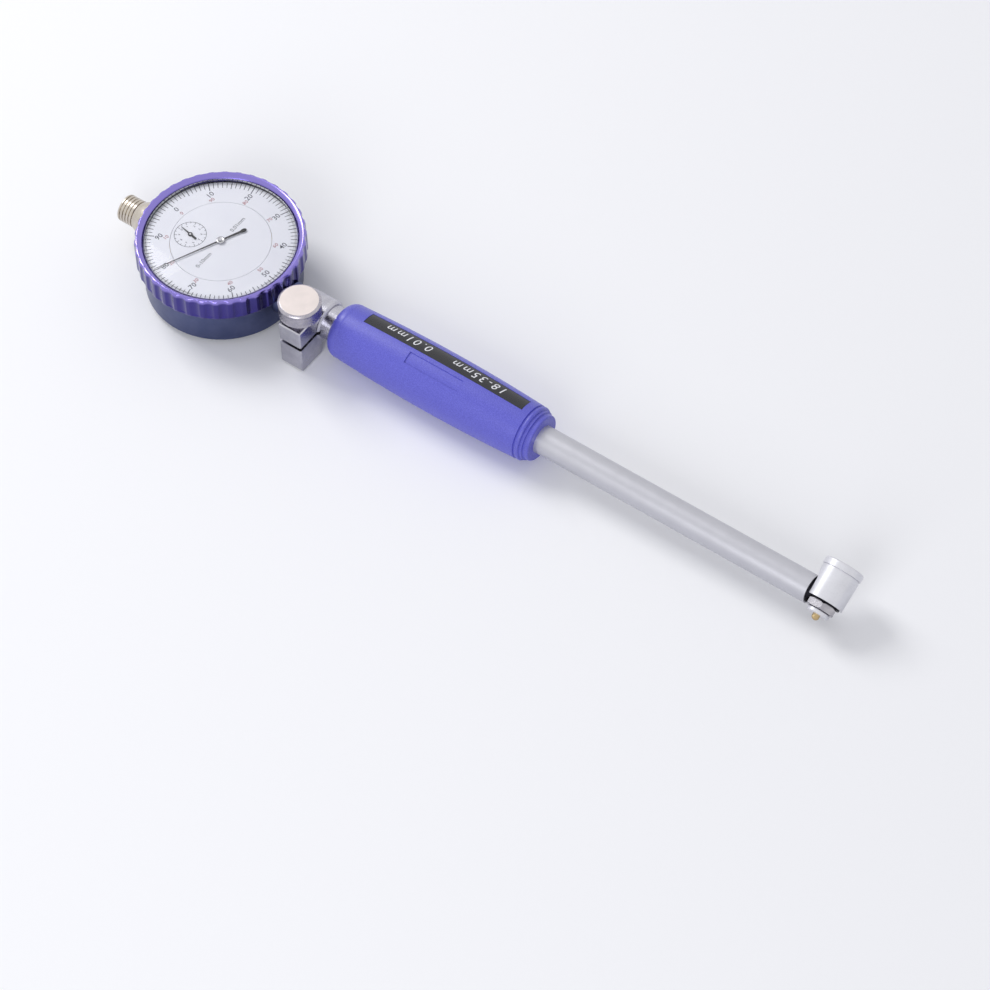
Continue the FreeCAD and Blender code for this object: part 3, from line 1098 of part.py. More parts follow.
def centring_bridge():
    """Spring-loaded sleeve that slides on the core; its rim rests on the bore's wall."""
    rim_bottom = BRIDGE_TOP - BRIDGE_RIM_HEIGHT
    rounding = BRIDGE_RIM_ROUND
    body = turned(
        (BRIDGE_BORE, BRIDGE_BOTTOM), (BRIDGE_LOWER_RADIUS, BRIDGE_BOTTOM),
        (BRIDGE_UPPER_RADIUS, rim_bottom - BRIDGE_GROOVE), (BRIDGE_UPPER_RADIUS - 0.25, rim_bottom - BRIDGE_GROOVE),
        (BRIDGE_UPPER_RADIUS - 0.25, rim_bottom), (BRIDGE_RIM_RADIUS, rim_bottom + 0.15),
        (BRIDGE_RIM_RADIUS, BRIDGE_TOP - rounding),
        ((BRIDGE_RIM_RADIUS - rounding * 0.293, BRIDGE_TOP - rounding * 0.293),
         (BRIDGE_RIM_RADIUS - rounding, BRIDGE_TOP)),
        (BRIDGE_RIM_RADIUS - 1.5, BRIDGE_TOP), (BRIDGE_RIM_RADIUS - 1.9, BRIDGE_TOP - 0.4),
        (PLUNGER_RADIUS + 0.5, BRIDGE_TOP - 0.4), (PLUNGER_RADIUS + 0.5, BRIDGE_ROOF), (BRIDGE_BORE, BRIDGE_ROOF))
    half = HEAD_NECK_RADIUS + 0.2
    slot_top = TUBE_RADIUS + BRIDGE_TRAVEL + 0.25
    neck_slot = box((-BRIDGE_RIM_RADIUS - 1, 0), (-half, half), (BRIDGE_BOTTOM - 1, slot_top - half))
    neck_slot = neck_slot.fuse(Part.makeCylinder(half, BRIDGE_RIM_RADIUS + 1, Vector(0, 0, slot_top - half),
                                                 Vector(-1, 0, 0)))
    clear = STOP_SCREW_RADIUS + RUN
    screw_slot = [stop_screw_bore(clear, STOP_SCREW_DEPTH - 1)]
    end = stop_screw_bore(clear, STOP_SCREW_DEPTH - 1)
    end.translate(Vector(0, 0, BRIDGE_TRAVEL))
    screw_slot.append(end)
    screw_slot.append(box((-clear, clear), (CORE_RADIUS - 1, CORE_RADIUS + 3),
                          (STOP_SCREW_HEIGHT, STOP_SCREW_HEIGHT + BRIDGE_TRAVEL)))
    return in_head(body.cut([neck_slot] + screw_slot))


def bridge_stop_screw():
    """Screw in the core that keeps the bridge on, through the slot in its underside."""
    screw = stop_screw_bore(STOP_SCREW_RADIUS, 0.0, BRIDGE_LOWER_RADIUS - CORE_RADIUS + 0.1)
    slot = box((-2, 2), (BRIDGE_LOWER_RADIUS - 0.2, BRIDGE_LOWER_RADIUS + 1),
               (STOP_SCREW_HEIGHT - 0.15, STOP_SCREW_HEIGHT + 0.15))
    return in_head(screw.cut(slot))


def bridge_spring():
    bottom = CORE_TOP - SPRING_GROOVE_DEPTH
    spring = coil(BRIDGE_SPRING_RADIUS, BRIDGE_SPRING_WIRE, BRIDGE_ROOF - bottom, BRIDGE_SPRING_COILS)
    spring.translate(Vector(0, 0, bottom))
    return in_head(spring)


def lock_nut():
    """Hexagon nut on the anvil's thread, chamfered at both faces."""
    corner = NUT_FLATS / math.sqrt(3)
    hexagon = prism([polar(corner, NUT_TURN + 60 * index) for index in range(6)], NUT_BOTTOM, NUT_TOP - SEAT)
    bevel = turned((0, NUT_BOTTOM), (corner - 0.6, NUT_BOTTOM), (corner, NUT_BOTTOM + 0.45),
                   (corner, NUT_TOP - 0.45), (corner - 0.6, NUT_TOP - SEAT), (0, NUT_TOP - SEAT))
    return in_head(hexagon.common(bevel).cut(disc(ANVIL_SHANK_RADIUS + RUN, NUT_BOTTOM - 1, NUT_TOP + 1)))


def anvil():
    """Interchangeable anvil: threaded shank, flange and a seat for its tip."""
    body = turned(
        (0, CORE_BOTTOM + ANVIL_THREAD_DEPTH), (ANVIL_SHANK_RADIUS - RUN, CORE_BOTTOM + ANVIL_THREAD_DEPTH),
        (ANVIL_SHANK_RADIUS - RUN, ANVIL_FLANGE_TOP), (ANVIL_FLANGE_RADIUS - 0.3, ANVIL_FLANGE_TOP),
        (ANVIL_FLANGE_RADIUS, ANVIL_FLANGE_TOP - 0.3), (ANVIL_FLANGE_RADIUS, ANVIL_TIP_START + 0.3),
        (ANVIL_FLANGE_RADIUS - 0.3, ANVIL_TIP_START), (ANVIL_TIP_RADIUS, ANVIL_TIP_START),
        (ANVIL_TIP_RADIUS, ANVIL_TIP_START + 1.2), (0, ANVIL_TIP_START + 1.2))
    return in_head(body)


def anvil_tip():
    end = ANVIL_TIP_START - ANVIL_TIP_LENGTH
    return in_head(turned(
        (0, ANVIL_TIP_START + 1.2), (ANVIL_TIP_RADIUS, ANVIL_TIP_START + 1.2), (ANVIL_TIP_RADIUS, end + 0.8),
        dome(ANVIL_TIP_RADIUS, end + 0.8, -0.8)))


# ---- every piece, by node name -------------------------------------------------------------------
PIECES = {
    "indicator_case": indicator_case, "back_cover": back_cover, "back_cover_screws": back_cover_screws,
    "top_neck": top_neck, "dial_clip": dial_clip, "retaining_wire": retaining_wire, "bezel": bezel, "crystal": crystal, "dial_spacer": dial_spacer,
    "dial_ring": dial_ring, "fixed_dial": fixed_dial, "main_pointer": main_pointer,
    "counter_pointer": counter_pointer, "main_plate": main_plate, "plate_screws": plate_screws,
    "plate_pillars": plate_pillars, "upper_plate": upper_plate, "pillar_screws": pillar_screws,
    "pinion_cock": pinion_cock, "rack_pinion": rack_pinion, "first_wheel": first_wheel,
    "centre_pinion": centre_pinion, "counter_wheel": counter_wheel, "counter_arbor": counter_arbor,
    "hairspring": hairspring, "hairspring_stud": hairspring_stud, "spindle": spindle, "guide_pin": guide_pin,
    "spindle_guide": spindle_guide, "spring_arm": spring_arm, "spring_post": spring_post,
    "spindle_spring": spindle_spring, "contact_point": contact_point, "stem": stem, "stem_bush": stem_bush,
    "top_bush": top_bush, "dust_cap": dust_cap, "clamp_collar": clamp_collar, "clamp_screw": clamp_screw,
    "grip": grip, "range_label": range_label, "outer_tube": outer_tube, "rod_pad": rod_pad,
    "push_rod": push_rod, "upper_rod_bush": lambda: rod_bush(UPPER_BUSH_START),
    "lower_rod_bush": lambda: rod_bush(LOWER_BUSH_START), "rod_clip": rod_clip, "rod_spring": rod_spring,
    "head_body": head_body, "crank_pin": crank_pin, "bell_crank": bell_crank, "plunger": plunger,
    "contact_ball": contact_ball, "plunger_bush": plunger_bush, "centring_bridge": centring_bridge,
    "bridge_stop_screw": bridge_stop_screw, "bridge_spring": bridge_spring, "lock_nut": lock_nut,
    "anvil": anvil, "anvil_tip": anvil_tip,
}

os.makedirs("parts", exist_ok=True)
for name, make in PIECES.items():
    make().exportStep(os.path.join("parts", name + ".step"))
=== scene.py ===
import math

import bmesh
import bpy
from mathutils import Matrix, Vector

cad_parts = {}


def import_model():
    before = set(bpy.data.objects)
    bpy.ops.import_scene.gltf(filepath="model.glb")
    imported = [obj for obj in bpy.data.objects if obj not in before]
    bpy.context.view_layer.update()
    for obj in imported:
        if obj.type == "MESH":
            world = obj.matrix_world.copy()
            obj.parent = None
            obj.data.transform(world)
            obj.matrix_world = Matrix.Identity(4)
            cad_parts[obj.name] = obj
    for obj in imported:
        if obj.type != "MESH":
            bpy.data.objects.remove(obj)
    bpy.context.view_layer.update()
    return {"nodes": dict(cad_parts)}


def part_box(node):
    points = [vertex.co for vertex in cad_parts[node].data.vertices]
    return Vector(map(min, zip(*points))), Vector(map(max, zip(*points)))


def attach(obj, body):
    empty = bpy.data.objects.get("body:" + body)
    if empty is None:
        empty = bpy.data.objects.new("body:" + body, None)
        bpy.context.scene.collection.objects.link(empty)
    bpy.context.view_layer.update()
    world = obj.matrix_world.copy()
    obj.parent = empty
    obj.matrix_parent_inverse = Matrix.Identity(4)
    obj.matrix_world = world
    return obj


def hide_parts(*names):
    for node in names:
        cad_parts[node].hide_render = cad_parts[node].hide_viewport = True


MM = 0.001                  # metres in a millimetre; lengths on the gauge are in mm
AXIS_HEIGHT = 11.0          # gauge axis above the floor
RING_TURN = 173.2           # where the dial ring's zero stands, degrees from +X
DIAL_UP = 180.0             # the dial's own up, towards the cap, degrees from +X
POINTER_ANGLE = 244.8       # the long pointer, degrees from +X
COUNTER_DISTANCE = 10.94    # the small dial's middle from the pointer's axis
COUNTER_ANGLE = 199.0       # and its direction from there, degrees from +X
LIP = 26.2                  # inner radius of the bezel's lip
KNOB = (41.155, -9.5)       # axis of the clamp knob
WAVE_SCALE = 3.1 / 6.283    # over a pitch in mm, it draws rings about two thirds of that pitch apart
SATIN_METAL = 0.6           # share of metal in a satin surface

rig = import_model()


def box_mm(node):
    low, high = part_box(node)
    return low / MM, high / MM


# ---- materials -----------------------------------------------------------------------------------
def srgb(red, green, blue):
    def linear(value):
        value /= 255
        return value / 12.92 if value <= 0.04045 else ((value + 0.055) / 1.055) ** 2.4
    return linear(red), linear(green), linear(blue), 1.0


class Finish:
    """A node material built up from object-space noise, in millimetres."""

    def __init__(self, name, color, metallic=0.0, roughness=0.5, specular=0.5, coat=0.0, coat_roughness=0.1):
        self.material = bpy.data.materials.new(name)
        self.material.use_nodes = True
        self.tree = self.material.node_tree
        self.shader = self.tree.nodes["Principled BSDF"]
        self.color = color
        self.shader.inputs["Base Color"].default_value = color
        self.shader.inputs["Metallic"].default_value = metallic
        self.shader.inputs["Roughness"].default_value = roughness
        self.shader.inputs["Specular IOR Level"].default_value = specular
        self.shader.inputs["Coat Weight"].default_value = coat
        self.shader.inputs["Coat Roughness"].default_value = coat_roughness
        self.heights = []

    def add(self, kind, **values):
        node = self.tree.nodes.new(kind)
        for key, value in values.items():
            if key in node.inputs:
                node.inputs[key].default_value = value
            else:
                setattr(node, key, value)
        return node

    def link(self, source, target):
        self.tree.links.new(source, target)

    def place(self, stretch=(1, 1, 1)):
        """Object coordinates in mm, stretched."""
        coordinates = self.add("ShaderNodeTexCoord")
        mapping = self.add("ShaderNodeMapping")
        mapping.inputs["Scale"].default_value = [1000 * value for value in stretch]
        self.link(coordinates.outputs["Object"], mapping.inputs["Vector"])
        return mapping.outputs["Vector"]

    def noise(self, scale, detail=3.0, stretch=(1, 1, 1), roughness=0.5):
        node = self.add("ShaderNodeTexNoise", Scale=scale, Detail=detail, Roughness=roughness)
        self.link(self.place(stretch), node.inputs["Vector"])
        return node.outputs["Fac"]

    def spread(self, source, low, high, start=0.35, end=0.65):
        """A texture's range from start to end, spread over low to high."""
        node = self.add("ShaderNodeMapRange")
        for key, value in (("From Min", start), ("From Max", end), ("To Min", low), ("To Max", high)):
            node.inputs[key].default_value = value
        self.link(source, node.inputs["Value"])
        return node.outputs["Result"]

    def vary_roughness(self, source, low, high):
        """Roughness between two values, by a texture."""
        self.link(self.spread(source, low, high), self.shader.inputs["Roughness"])

    def vary_color(self, source, other, start=0.35, end=0.65):
        """Base colour towards another one, as a texture goes from start to end."""
        mix = self.add("ShaderNodeMix", data_type="RGBA")
        mix.inputs[6].default_value = self.color
        mix.inputs[7].default_value = other
        self.link(self.spread(source, 0, 1, start, end), mix.inputs[0])
        self.link(mix.outputs[2], self.shader.inputs["Base Color"])

    def bump(self, source, distance, strength=0.6):
        """Adds relief on top of what is there; the distance is in mm."""
        node = self.add("ShaderNodeBump", Strength=strength, Distance=distance * MM)
        self.link(source, node.inputs["Height"])
        if self.heights:
            self.link(self.heights[-1].outputs["Normal"], node.inputs["Normal"])
        self.heights.append(node)
        self.link(node.outputs["Normal"], self.shader.inputs["Normal"])


def brushed(name, color, roughness, other, along):
    """Satin metal with fine lines along an axis and a slow change of shade."""
    finish = Finish(name, color, SATIN_METAL, roughness)
    lines = finish.noise(14.0, 4.0, along)
    slow = finish.noise(0.22, 3.0)
    finish.vary_roughness(lines, roughness * 0.82, roughness * 1.2)
    finish.vary_color(slow, other)
    finish.bump(lines, 0.004)
    return finish.material


def turned_metal(name, color, roughness, other, pitch, centre=(0, 0)):
    """Metal faced on a lathe: fine rings about an upright axis."""
    finish = Finish(name, color, 1.0, roughness)
    wave = finish.add("ShaderNodeTexWave", wave_type="RINGS", rings_direction="Z",
                      Scale=WAVE_SCALE / pitch, Distortion=0.6, Detail=2.0)
    wave.inputs["Detail Scale"].default_value = 1.5
    place = finish.place()
    place.node.inputs["Location"].default_value = (-centre[0], -centre[1], 0)
    finish.link(place, wave.inputs["Vector"])
    slow = finish.noise(0.3, 3.0)
    finish.vary_color(slow, other)
    finish.vary_roughness(wave.outputs["Fac"], roughness * 0.85, roughness * 1.15)
    finish.bump(wave.outputs["Fac"], 0.004, 0.4)
    return finish.material


def plated(name, color, roughness, other):
    """Plated or polished metal with faint unevenness and handling marks."""
    finish = Finish(name, color, 1.0, roughness)
    cloud = finish.noise(0.35, 4.0)
    marks = finish.noise(3.2, 6.0, (1, 0.25, 1), 0.65)
    finish.vary_color(cloud, other)
    finish.vary_roughness(marks, roughness * 0.8, roughness * 1.35 + 0.03)
    finish.bump(marks, 0.0025, 0.35)
    return finish.material


def printed(name, color, roughness=0.55):
    """Paint or ink of one colour."""
    finish = Finish(name, color, 0.0, roughness)
    finish.vary_roughness(finish.noise(2.0, 3.0), roughness * 0.9, roughness * 1.1)
    return finish.material


def grip_plastic():
    """Moulded plastic with a fine pebbled skin that breaks up the highlight."""
    finish = Finish("grip_plastic", srgb(80, 80, 186), 0.0, 0.4, 0.6, 0.1, 0.3)
    pebble = finish.noise(2.4, 2.0, roughness=0.55)
    fine = finish.noise(7.0, 2.0)
    finish.vary_color(finish.noise(3.1, 2.0), srgb(96, 96, 202), 0.42, 0.62)
    finish.vary_roughness(pebble, 0.3, 0.5)
    finish.bump(pebble, 0.09, 0.6)
    finish.bump(fine, 0.02, 0.4)
    return finish.material


def anodised():
    """Dyed aluminium in deep violet, with a painted highlight: the rim turns paler lavender towards its top.
    """
    finish = Finish("bezel_violet_painted_rim_highlight", srgb(52, 42, 128), 1.0, 0.2, 0.5, 0.5, 0.08)
    height = finish.add("ShaderNodeSeparateXYZ")
    finish.link(finish.place(), height.inputs["Vector"])
    # painted highlight: paler lavender from 22.9 to 23.7 mm up, standing in for light on the upward-facing
    # rim; the deep violet below is the dye
    finish.vary_color(height.outputs["Z"], srgb(134, 122, 200), 22.9, 23.7)
    finish.vary_roughness(finish.noise(6.0, 3.0, (1, 1, 0.2)), 0.15, 0.25)
    finish.bump(finish.noise(4.0, 3.0, (1, 1, 0.15)), 0.003, 0.4)
    return finish.material


def satin_case():
    """The indicator's case, satin grey metal brushed round its side, with a painted reflection: its dark
    blue-grey tone stands in for blue surroundings.
    """
    # painted reflection: the dark blue-grey base stands in for blue surroundings mirrored in the case's satin
    # metal
    finish = Finish("case_satin_painted_blue_reflection", srgb(88, 95, 130), 1.0, 0.34)
    lines = finish.noise(9.0, 3.0, (0.25, 0.25, 3.0))
    finish.vary_color(finish.noise(0.15, 3.0), srgb(78, 86, 122))
    finish.vary_roughness(lines, 0.28, 0.4)
    finish.bump(lines, 0.004, 0.4)
    return finish.material


def clear_window():
    """Thin clear moulding: it lets light straight through and keeps a glossy skin."""
    material = bpy.data.materials.new("clear_window")
    material.use_nodes = True
    tree = material.node_tree
    tree.nodes.clear()
    output = tree.nodes.new("ShaderNodeOutputMaterial")
    clear = tree.nodes.new("ShaderNodeBsdfTransparent")
    clear.inputs["Color"].default_value = (0.998, 0.998, 1.0, 1)
    gloss = tree.nodes.new("ShaderNodeBsdfGlossy")
    gloss.inputs["Roughness"].default_value = 0.04
    fresnel = tree.nodes.new("ShaderNodeFresnel")
    fresnel.inputs["IOR"].default_value = 1.2
    mix = tree.nodes.new("ShaderNodeMixShader")
    tree.links.new(fresnel.outputs["Fac"], mix.inputs["Fac"])
    tree.links.new(clear.outputs["BSDF"], mix.inputs[1])
    tree.links.new(gloss.outputs["BSDF"], mix.inputs[2])
    tree.links.new(mix.outputs["Shader"], output.inputs["Surface"])
    return material


def dial_white():
    """Matt white enamel."""
    finish = Finish("dial_white", srgb(246, 247, 253), 0.0, 0.5)
    finish.vary_color(finish.noise(0.1, 2.0), srgb(243, 244, 251))
    finish.bump(finish.noise(12.0, 2.0), 0.002, 0.3)
    return finish.material


MATERIALS = {
    "case": satin_case(),
    "bezel": anodised(),
    "cover": turned_metal("cover_turned", srgb(176, 177, 182), 0.3, srgb(166, 167, 173), 0.5),
    "screw": plated("screw_steel", srgb(150, 150, 154), 0.25, srgb(138, 138, 143)),
    "window": clear_window(),
    "dial": dial_white(),
    "ink": printed("dial_ink", srgb(62, 64, 78)),
    "red_ink": printed("dial_red_ink", srgb(160, 72, 84)),
    "pointer": printed("pointer_black", srgb(34, 34, 38), 0.35),
    "brass": plated("movement_brass", srgb(214, 184, 118), 0.28, srgb(202, 170, 104)),
    "steel": plated("movement_steel", srgb(196, 196, 200), 0.2, srgb(184, 184, 189)),
    "spring": plated("spring_steel", srgb(158, 160, 168), 0.25, srgb(146, 148, 156)),
    "stem": plated("stem_ground", srgb(205, 205, 210), 0.16, srgb(194, 194, 200)),
    "cap": plated("cap_nickel", srgb(206, 199, 190), 0.16, srgb(192, 184, 174)),
    "clamp": plated("clamp_nickel", srgb(190, 189, 198), 0.2, srgb(176, 175, 186)),
    "knob_top": turned_metal("knob_faced", srgb(212, 202, 200), 0.36, srgb(205, 196, 194), 0.3, KNOB),
    "knob": plated("knob_nickel", srgb(178, 174, 182), 0.24, srgb(160, 157, 168)),
    "grip": grip_plastic(),
    "label": printed("label_black", srgb(30, 30, 36), 0.3),
    "label_ink": printed("label_white", srgb(232, 232, 236), 0.5),
    "tube": brushed("tube_satin", srgb(190, 190, 197), 0.34, srgb(187, 187, 194), (0.03, 1, 1)),
    "head": brushed("head_satin", srgb(216, 216, 222), 0.32, srgb(212, 212, 218), (1, 0.2, 1)),
    "nut": plated("nut_nickel", srgb(176, 174, 180), 0.18, srgb(158, 156, 164)),
    # painted shade: the head body, seen only in the gap at the tube's end, is made near black to stand in for
    # the shade in that gap
    "painted_shade_steel": plated("neck_painted_shade", srgb(34, 34, 40), 0.4, srgb(26, 26, 32)),
    "tip": plated("tip_bronze", srgb(200, 178, 138), 0.2, srgb(186, 162, 120)),
}

NODE_FINISH = {
    "case": ["indicator_case"],
    "cover": ["back_cover", "dial_spacer", "dial_clip"],
    "screw": ["back_cover_screws", "plate_screws", "pillar_screws", "bridge_stop_screw"],
    "dial": ["dial_ring", "fixed_dial"],
    "pointer": ["counter_pointer"],
    "brass": ["main_plate", "plate_pillars", "upper_plate", "pinion_cock", "first_wheel", "counter_wheel",
              "hairspring_stud", "spindle_guide", "stem_bush", "top_bush", "upper_rod_bush", "lower_rod_bush",
              "plunger_bush"],
    "steel": ["rack_pinion", "centre_pinion", "counter_arbor", "spindle", "guide_pin", "spring_arm",
              "spring_post", "contact_point", "rod_pad", "push_rod", "crank_pin", "bell_crank", "plunger",
              "contact_ball"],
    "spring": ["retaining_wire", "hairspring", "spindle_spring", "rod_clip", "rod_spring", "bridge_spring"],
    "stem": ["stem"],
    "cap": ["dust_cap", "top_neck"],
    "clamp": ["clamp_collar"],
    "nut": ["lock_nut"],
    "painted_shade_steel": ["head_body"],
    "grip": ["grip"],
    "label": ["range_label"],
    "tube": ["outer_tube"],
    "head": ["centring_bridge", "anvil"],
    "tip": ["anvil_tip"],
}
for finish_name, node_names in NODE_FINISH.items():
    for node_name in node_names:
        piece = rig["nodes"][node_name]
        piece.data.materials.clear()
        piece.data.materials.append(MATERIALS[finish_name])


# ---- mesh helpers --------------------------------------------------------------------------------
def object_from(name, verts, faces, material, body, smooth=True, sharp=None):
    """Mesh object from points in mm, riding a CAD body. Edges sharper than the given degrees stay sharp."""
    mesh = bpy.data.meshes.new(name)
    mesh.from_pydata([[value * MM for value in vert] for vert in verts], [], faces)
    mesh.validate()
    piece = bpy.data.objects.new(name, mesh)
    bpy.context.scene.collection.objects.link(piece)
    mesh.materials.append(material)
    if smooth:
        mesh.shade_smooth()
        if sharp:
            mesh.set_sharp_from_angle(angle=math.radians(sharp))
    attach(piece, body)
    return piece


def lathe(profile, steps, centre=(0, 0), wobble=None):
    """Points and quads of a profile of (radius, height) turned about Z, with an offset by row and angle."""
    verts, faces = [], []
    count = len(profile)
    for index in range(steps):
        angle = 2 * math.pi * index / steps
        for row, (radius, height) in enumerate(profile):
            reach = radius + (wobble(row, angle) if wobble else 0)
            verts.append((centre[0] + reach * math.cos(angle), centre[1] + reach * math.sin(angle), height))
    for index in range(steps):
        here, there = index * count, (index + 1) % steps * count
        for row in range(count - 1):
            faces.append((here + row, there + row, there + row + 1, here + row + 1))
    return verts, faces


def polar(radius, degrees, x=0.0, y=0.0):
    """The point at a radius and direction from (x, y)."""
    angle = math.radians(degrees)
    return x + radius * math.cos(angle), y + radius * math.sin(angle)


def strip(verts, faces, start, end, width, height):
    """Adds a thin flat bar between two points."""
    along = Vector((end[0] - start[0], end[1] - start[1])).normalized()
    side = Vector((-along.y, along.x)) * width / 2
    base = len(verts)
    for point, sign in ((start, 1), (start, -1), (end, -1), (end, 1)):
        verts.append((point[0] + side.x * sign, point[1] + side.y * sign, height))
    faces.append((base, base + 1, base + 2, base + 3))


def hoop(verts, faces, radius, width, height, x, y):
    """Adds a thin flat ring about (x, y)."""
    base = len(verts)
    steps = 96
    for index in range(steps):
        for reach in (radius - width / 2, radius + width / 2):
            verts.append((*polar(reach, 360 * index / steps, x, y), height))
    for index in range(steps):
        a, b = base + index * 2, base + (index + 1) % steps * 2
        faces.append((a, a + 1, b + 1, b))


def lettering(name, text, size, material, body, to_place, bold=0.0, shear=0.0, spacing=1.0,
              resolution=2, slices=0):
    """Text as a flat mesh, each point put by to_place(x, y), in mm from the text's middle.

    Slices across the letters let them follow a curved face.
    """
    curve = bpy.data.curves.new(name, "FONT")
    curve.body = text
    curve.size = size
    curve.offset = bold
    curve.shear = shear
    curve.space_character = spacing
    curve.resolution_u = resolution
    source = bpy.data.objects.new(name + "_source", curve)
    bpy.context.scene.collection.objects.link(source)
    bpy.context.view_layer.update()
    mesh = bpy.data.meshes.new_from_object(source)
    bpy.data.objects.remove(source)
    xs = [vert.co.x for vert in mesh.vertices]
    ys = [vert.co.y for vert in mesh.vertices]
    middle = ((min(xs) + max(xs)) / 2, (min(ys) + max(ys)) / 2)
    if slices:
        cut = bmesh.new()
        cut.from_mesh(mesh)
        for index in range(1, slices):
            level = min(ys) + (max(ys) - min(ys)) * index / slices
            bmesh.ops.bisect_plane(cut, geom=cut.verts[:] + cut.edges[:] + cut.faces[:],
                                   plane_co=(0, level, 0), plane_no=(0, 1, 0))
        cut.to_mesh(mesh)
        cut.free()
    for vert in mesh.vertices:
        vert.co = Vector(to_place(vert.co.x - middle[0], vert.co.y - middle[1])) * MM
    mesh.materials.clear()
    mesh.materials.append(material)
    piece = bpy.data.objects.new(name, mesh)
    bpy.context.scene.collection.objects.link(piece)
    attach(piece, body)
    return piece


def on_dial(x, y, height, reading):
    """Puts flat lettering at a point and height, reading along a direction in degrees."""
    turn = math.radians(reading)

    def to_place(u, v):
        return (x + u * math.cos(turn) - v * math.sin(turn),
                y + u * math.sin(turn) + v * math.cos(turn), height)
    return to_place


# ---- dial ----------------------------------------------------------------------------------------
PRINT = box_mm("dial_ring")[1].z + 0.015        # height of the ink, just clear of the dial
DIVISIONS = 100
TICK_END = 26.05                                # outer radius of the ring's ticks
TICKS = ((10, 22.9, 0.3), (5, 23.3, 0.26), (1, 23.8, 0.22))     # at every so many: inner radius, width
NUMBER_RADIUS = 21.3
NUMBER_SIZE = 2.8
COUNT_BACK_RADIUS = 18.75
COUNT_BACK_SIZE = 2.0
SMALL_DIAL_RADIUS = 5.5
SMALL_TICK_END = 5.45
SMALL_LINE = 0.16                               # width of the small dial's lines
SMALL_NUMBER_RADIUS = 3.75


def ring_marks():
    """Ticks of the turning ring, its numbers, and the red numbers that count back."""
    verts, faces = [], []
    for index in range(DIVISIONS):
        angle = RING_TURN - 360 / DIVISIONS * index
        inner, width = next((start, wide) for every, start, wide in TICKS if index % every == 0)
        strip(verts, faces, polar(inner, angle), polar(TICK_END, angle), width, PRINT)
    object_from("dial_ring_marks", verts, faces, MATERIALS["ink"], "bezel_set",
                smooth=False)
    for index in range(10):
        angle = RING_TURN - 36 * index
        lettering("dial_number_%d" % index, str(index * 10), NUMBER_SIZE, MATERIALS["ink"], "bezel_set",
                  on_dial(*polar(NUMBER_RADIUS, angle), PRINT, RING_TURN - 90), bold=0.012)
        lettering("dial_count_back_%d" % index, str((10 - index) % 10 * 10), COUNT_BACK_SIZE,
                  MATERIALS["red_ink"], "bezel_set",
                  on_dial(*polar(COUNT_BACK_RADIUS, angle), PRINT, RING_TURN - 90))


def fixed_marks():
    """The small dial and the two texts on the dial's fixed middle."""
    sub_x, sub_y = polar(COUNTER_DISTANCE, COUNTER_ANGLE)
    ink = MATERIALS["ink"]
    verts, faces = [], []
    hoop(verts, faces, SMALL_DIAL_RADIUS, SMALL_LINE, PRINT, sub_x, sub_y)
    for index in range(20):
        inner = 4.5 if index % 2 == 0 else 4.95
        strip(verts, faces, polar(inner, 18 * index, sub_x, sub_y),
              polar(SMALL_TICK_END, 18 * index, sub_x, sub_y), SMALL_LINE, PRINT)
    object_from("counter_dial_marks", verts, faces, ink, "indicator", smooth=False)
    for index in range(10):
        point = polar(SMALL_NUMBER_RADIUS, DIAL_UP - 36 * index, sub_x, sub_y)
        lettering("counter_number_%d" % index, str(index), 1.2, ink, "indicator",
                  on_dial(*point, PRINT, DIAL_UP - 90))
    lettering("dial_range_text", "0-10mm", 2.25, ink, "indicator", on_dial(0.3, -9.9, PRINT, 90))
    lettering("dial_division_text", "0.01mm", 2.2, ink, "indicator", on_dial(0.14, 9.05, PRINT, 90))


def pointer():
    """Long thin pointer with a rounded counterweight, a hub and its rivet."""
    low, high = box_mm("main_pointer")
    base = low.z + 0.1
    # distance along the pointer, half its width there
    blade = [(24.85, 0.07), (20.0, 0.15), (12.0, 0.22), (3.0, 0.29), (1.2, 0.32), (-1.2, 0.34),
             (-4.0, 0.38), (-7.6, 0.42), (-8.1, 0.64), (-8.9, 0.8), (-9.5, 0.62), (-9.85, 0.14)]
    verts, faces = [], []
    turn = math.radians(POINTER_ANGLE)
    for along, half in blade:
        for side, height in ((-half, base + 0.05), (-half * 0.4, base + 0.2), (half * 0.4, base + 0.2),
                             (half, base + 0.05)):
            verts.append((along * math.cos(turn) - side * math.sin(turn),
                          along * math.sin(turn) + side * math.cos(turn), height))
    for index in range(len(blade) - 1):
        for row in range(3):
            here = index * 4 + row
            faces.append((here, here + 4, here + 5, here + 1))
    object_from("pointer_blade", verts, faces, MATERIALS["pointer"], "centre_arbor",
                sharp=40)
    top = high.z
    profile = [(1.45, low.z), (1.45, top - 0.22), (1.3, top - 0.12), (1.0, top - 0.12), (0.9, top - 0.17),
               (0.55, top - 0.17), (0.5, top - 0.08), (0.25, top - 0.02), (0.0, top)]
    verts, faces = lathe(profile, 48)
    hub = object_from("pointer_hub", verts, faces, MATERIALS["steel"], "centre_arbor",
                      sharp=35)
    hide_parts("main_pointer")


FLUTES = 38
FLUTE_DEPTH = 0.55
FLUTE_LAND = 0.3            # share of the pitch left standing between two hollows
FLUTE_STEPS = 14            # points round the ring for each flute
SKIRT_ROWS = 8


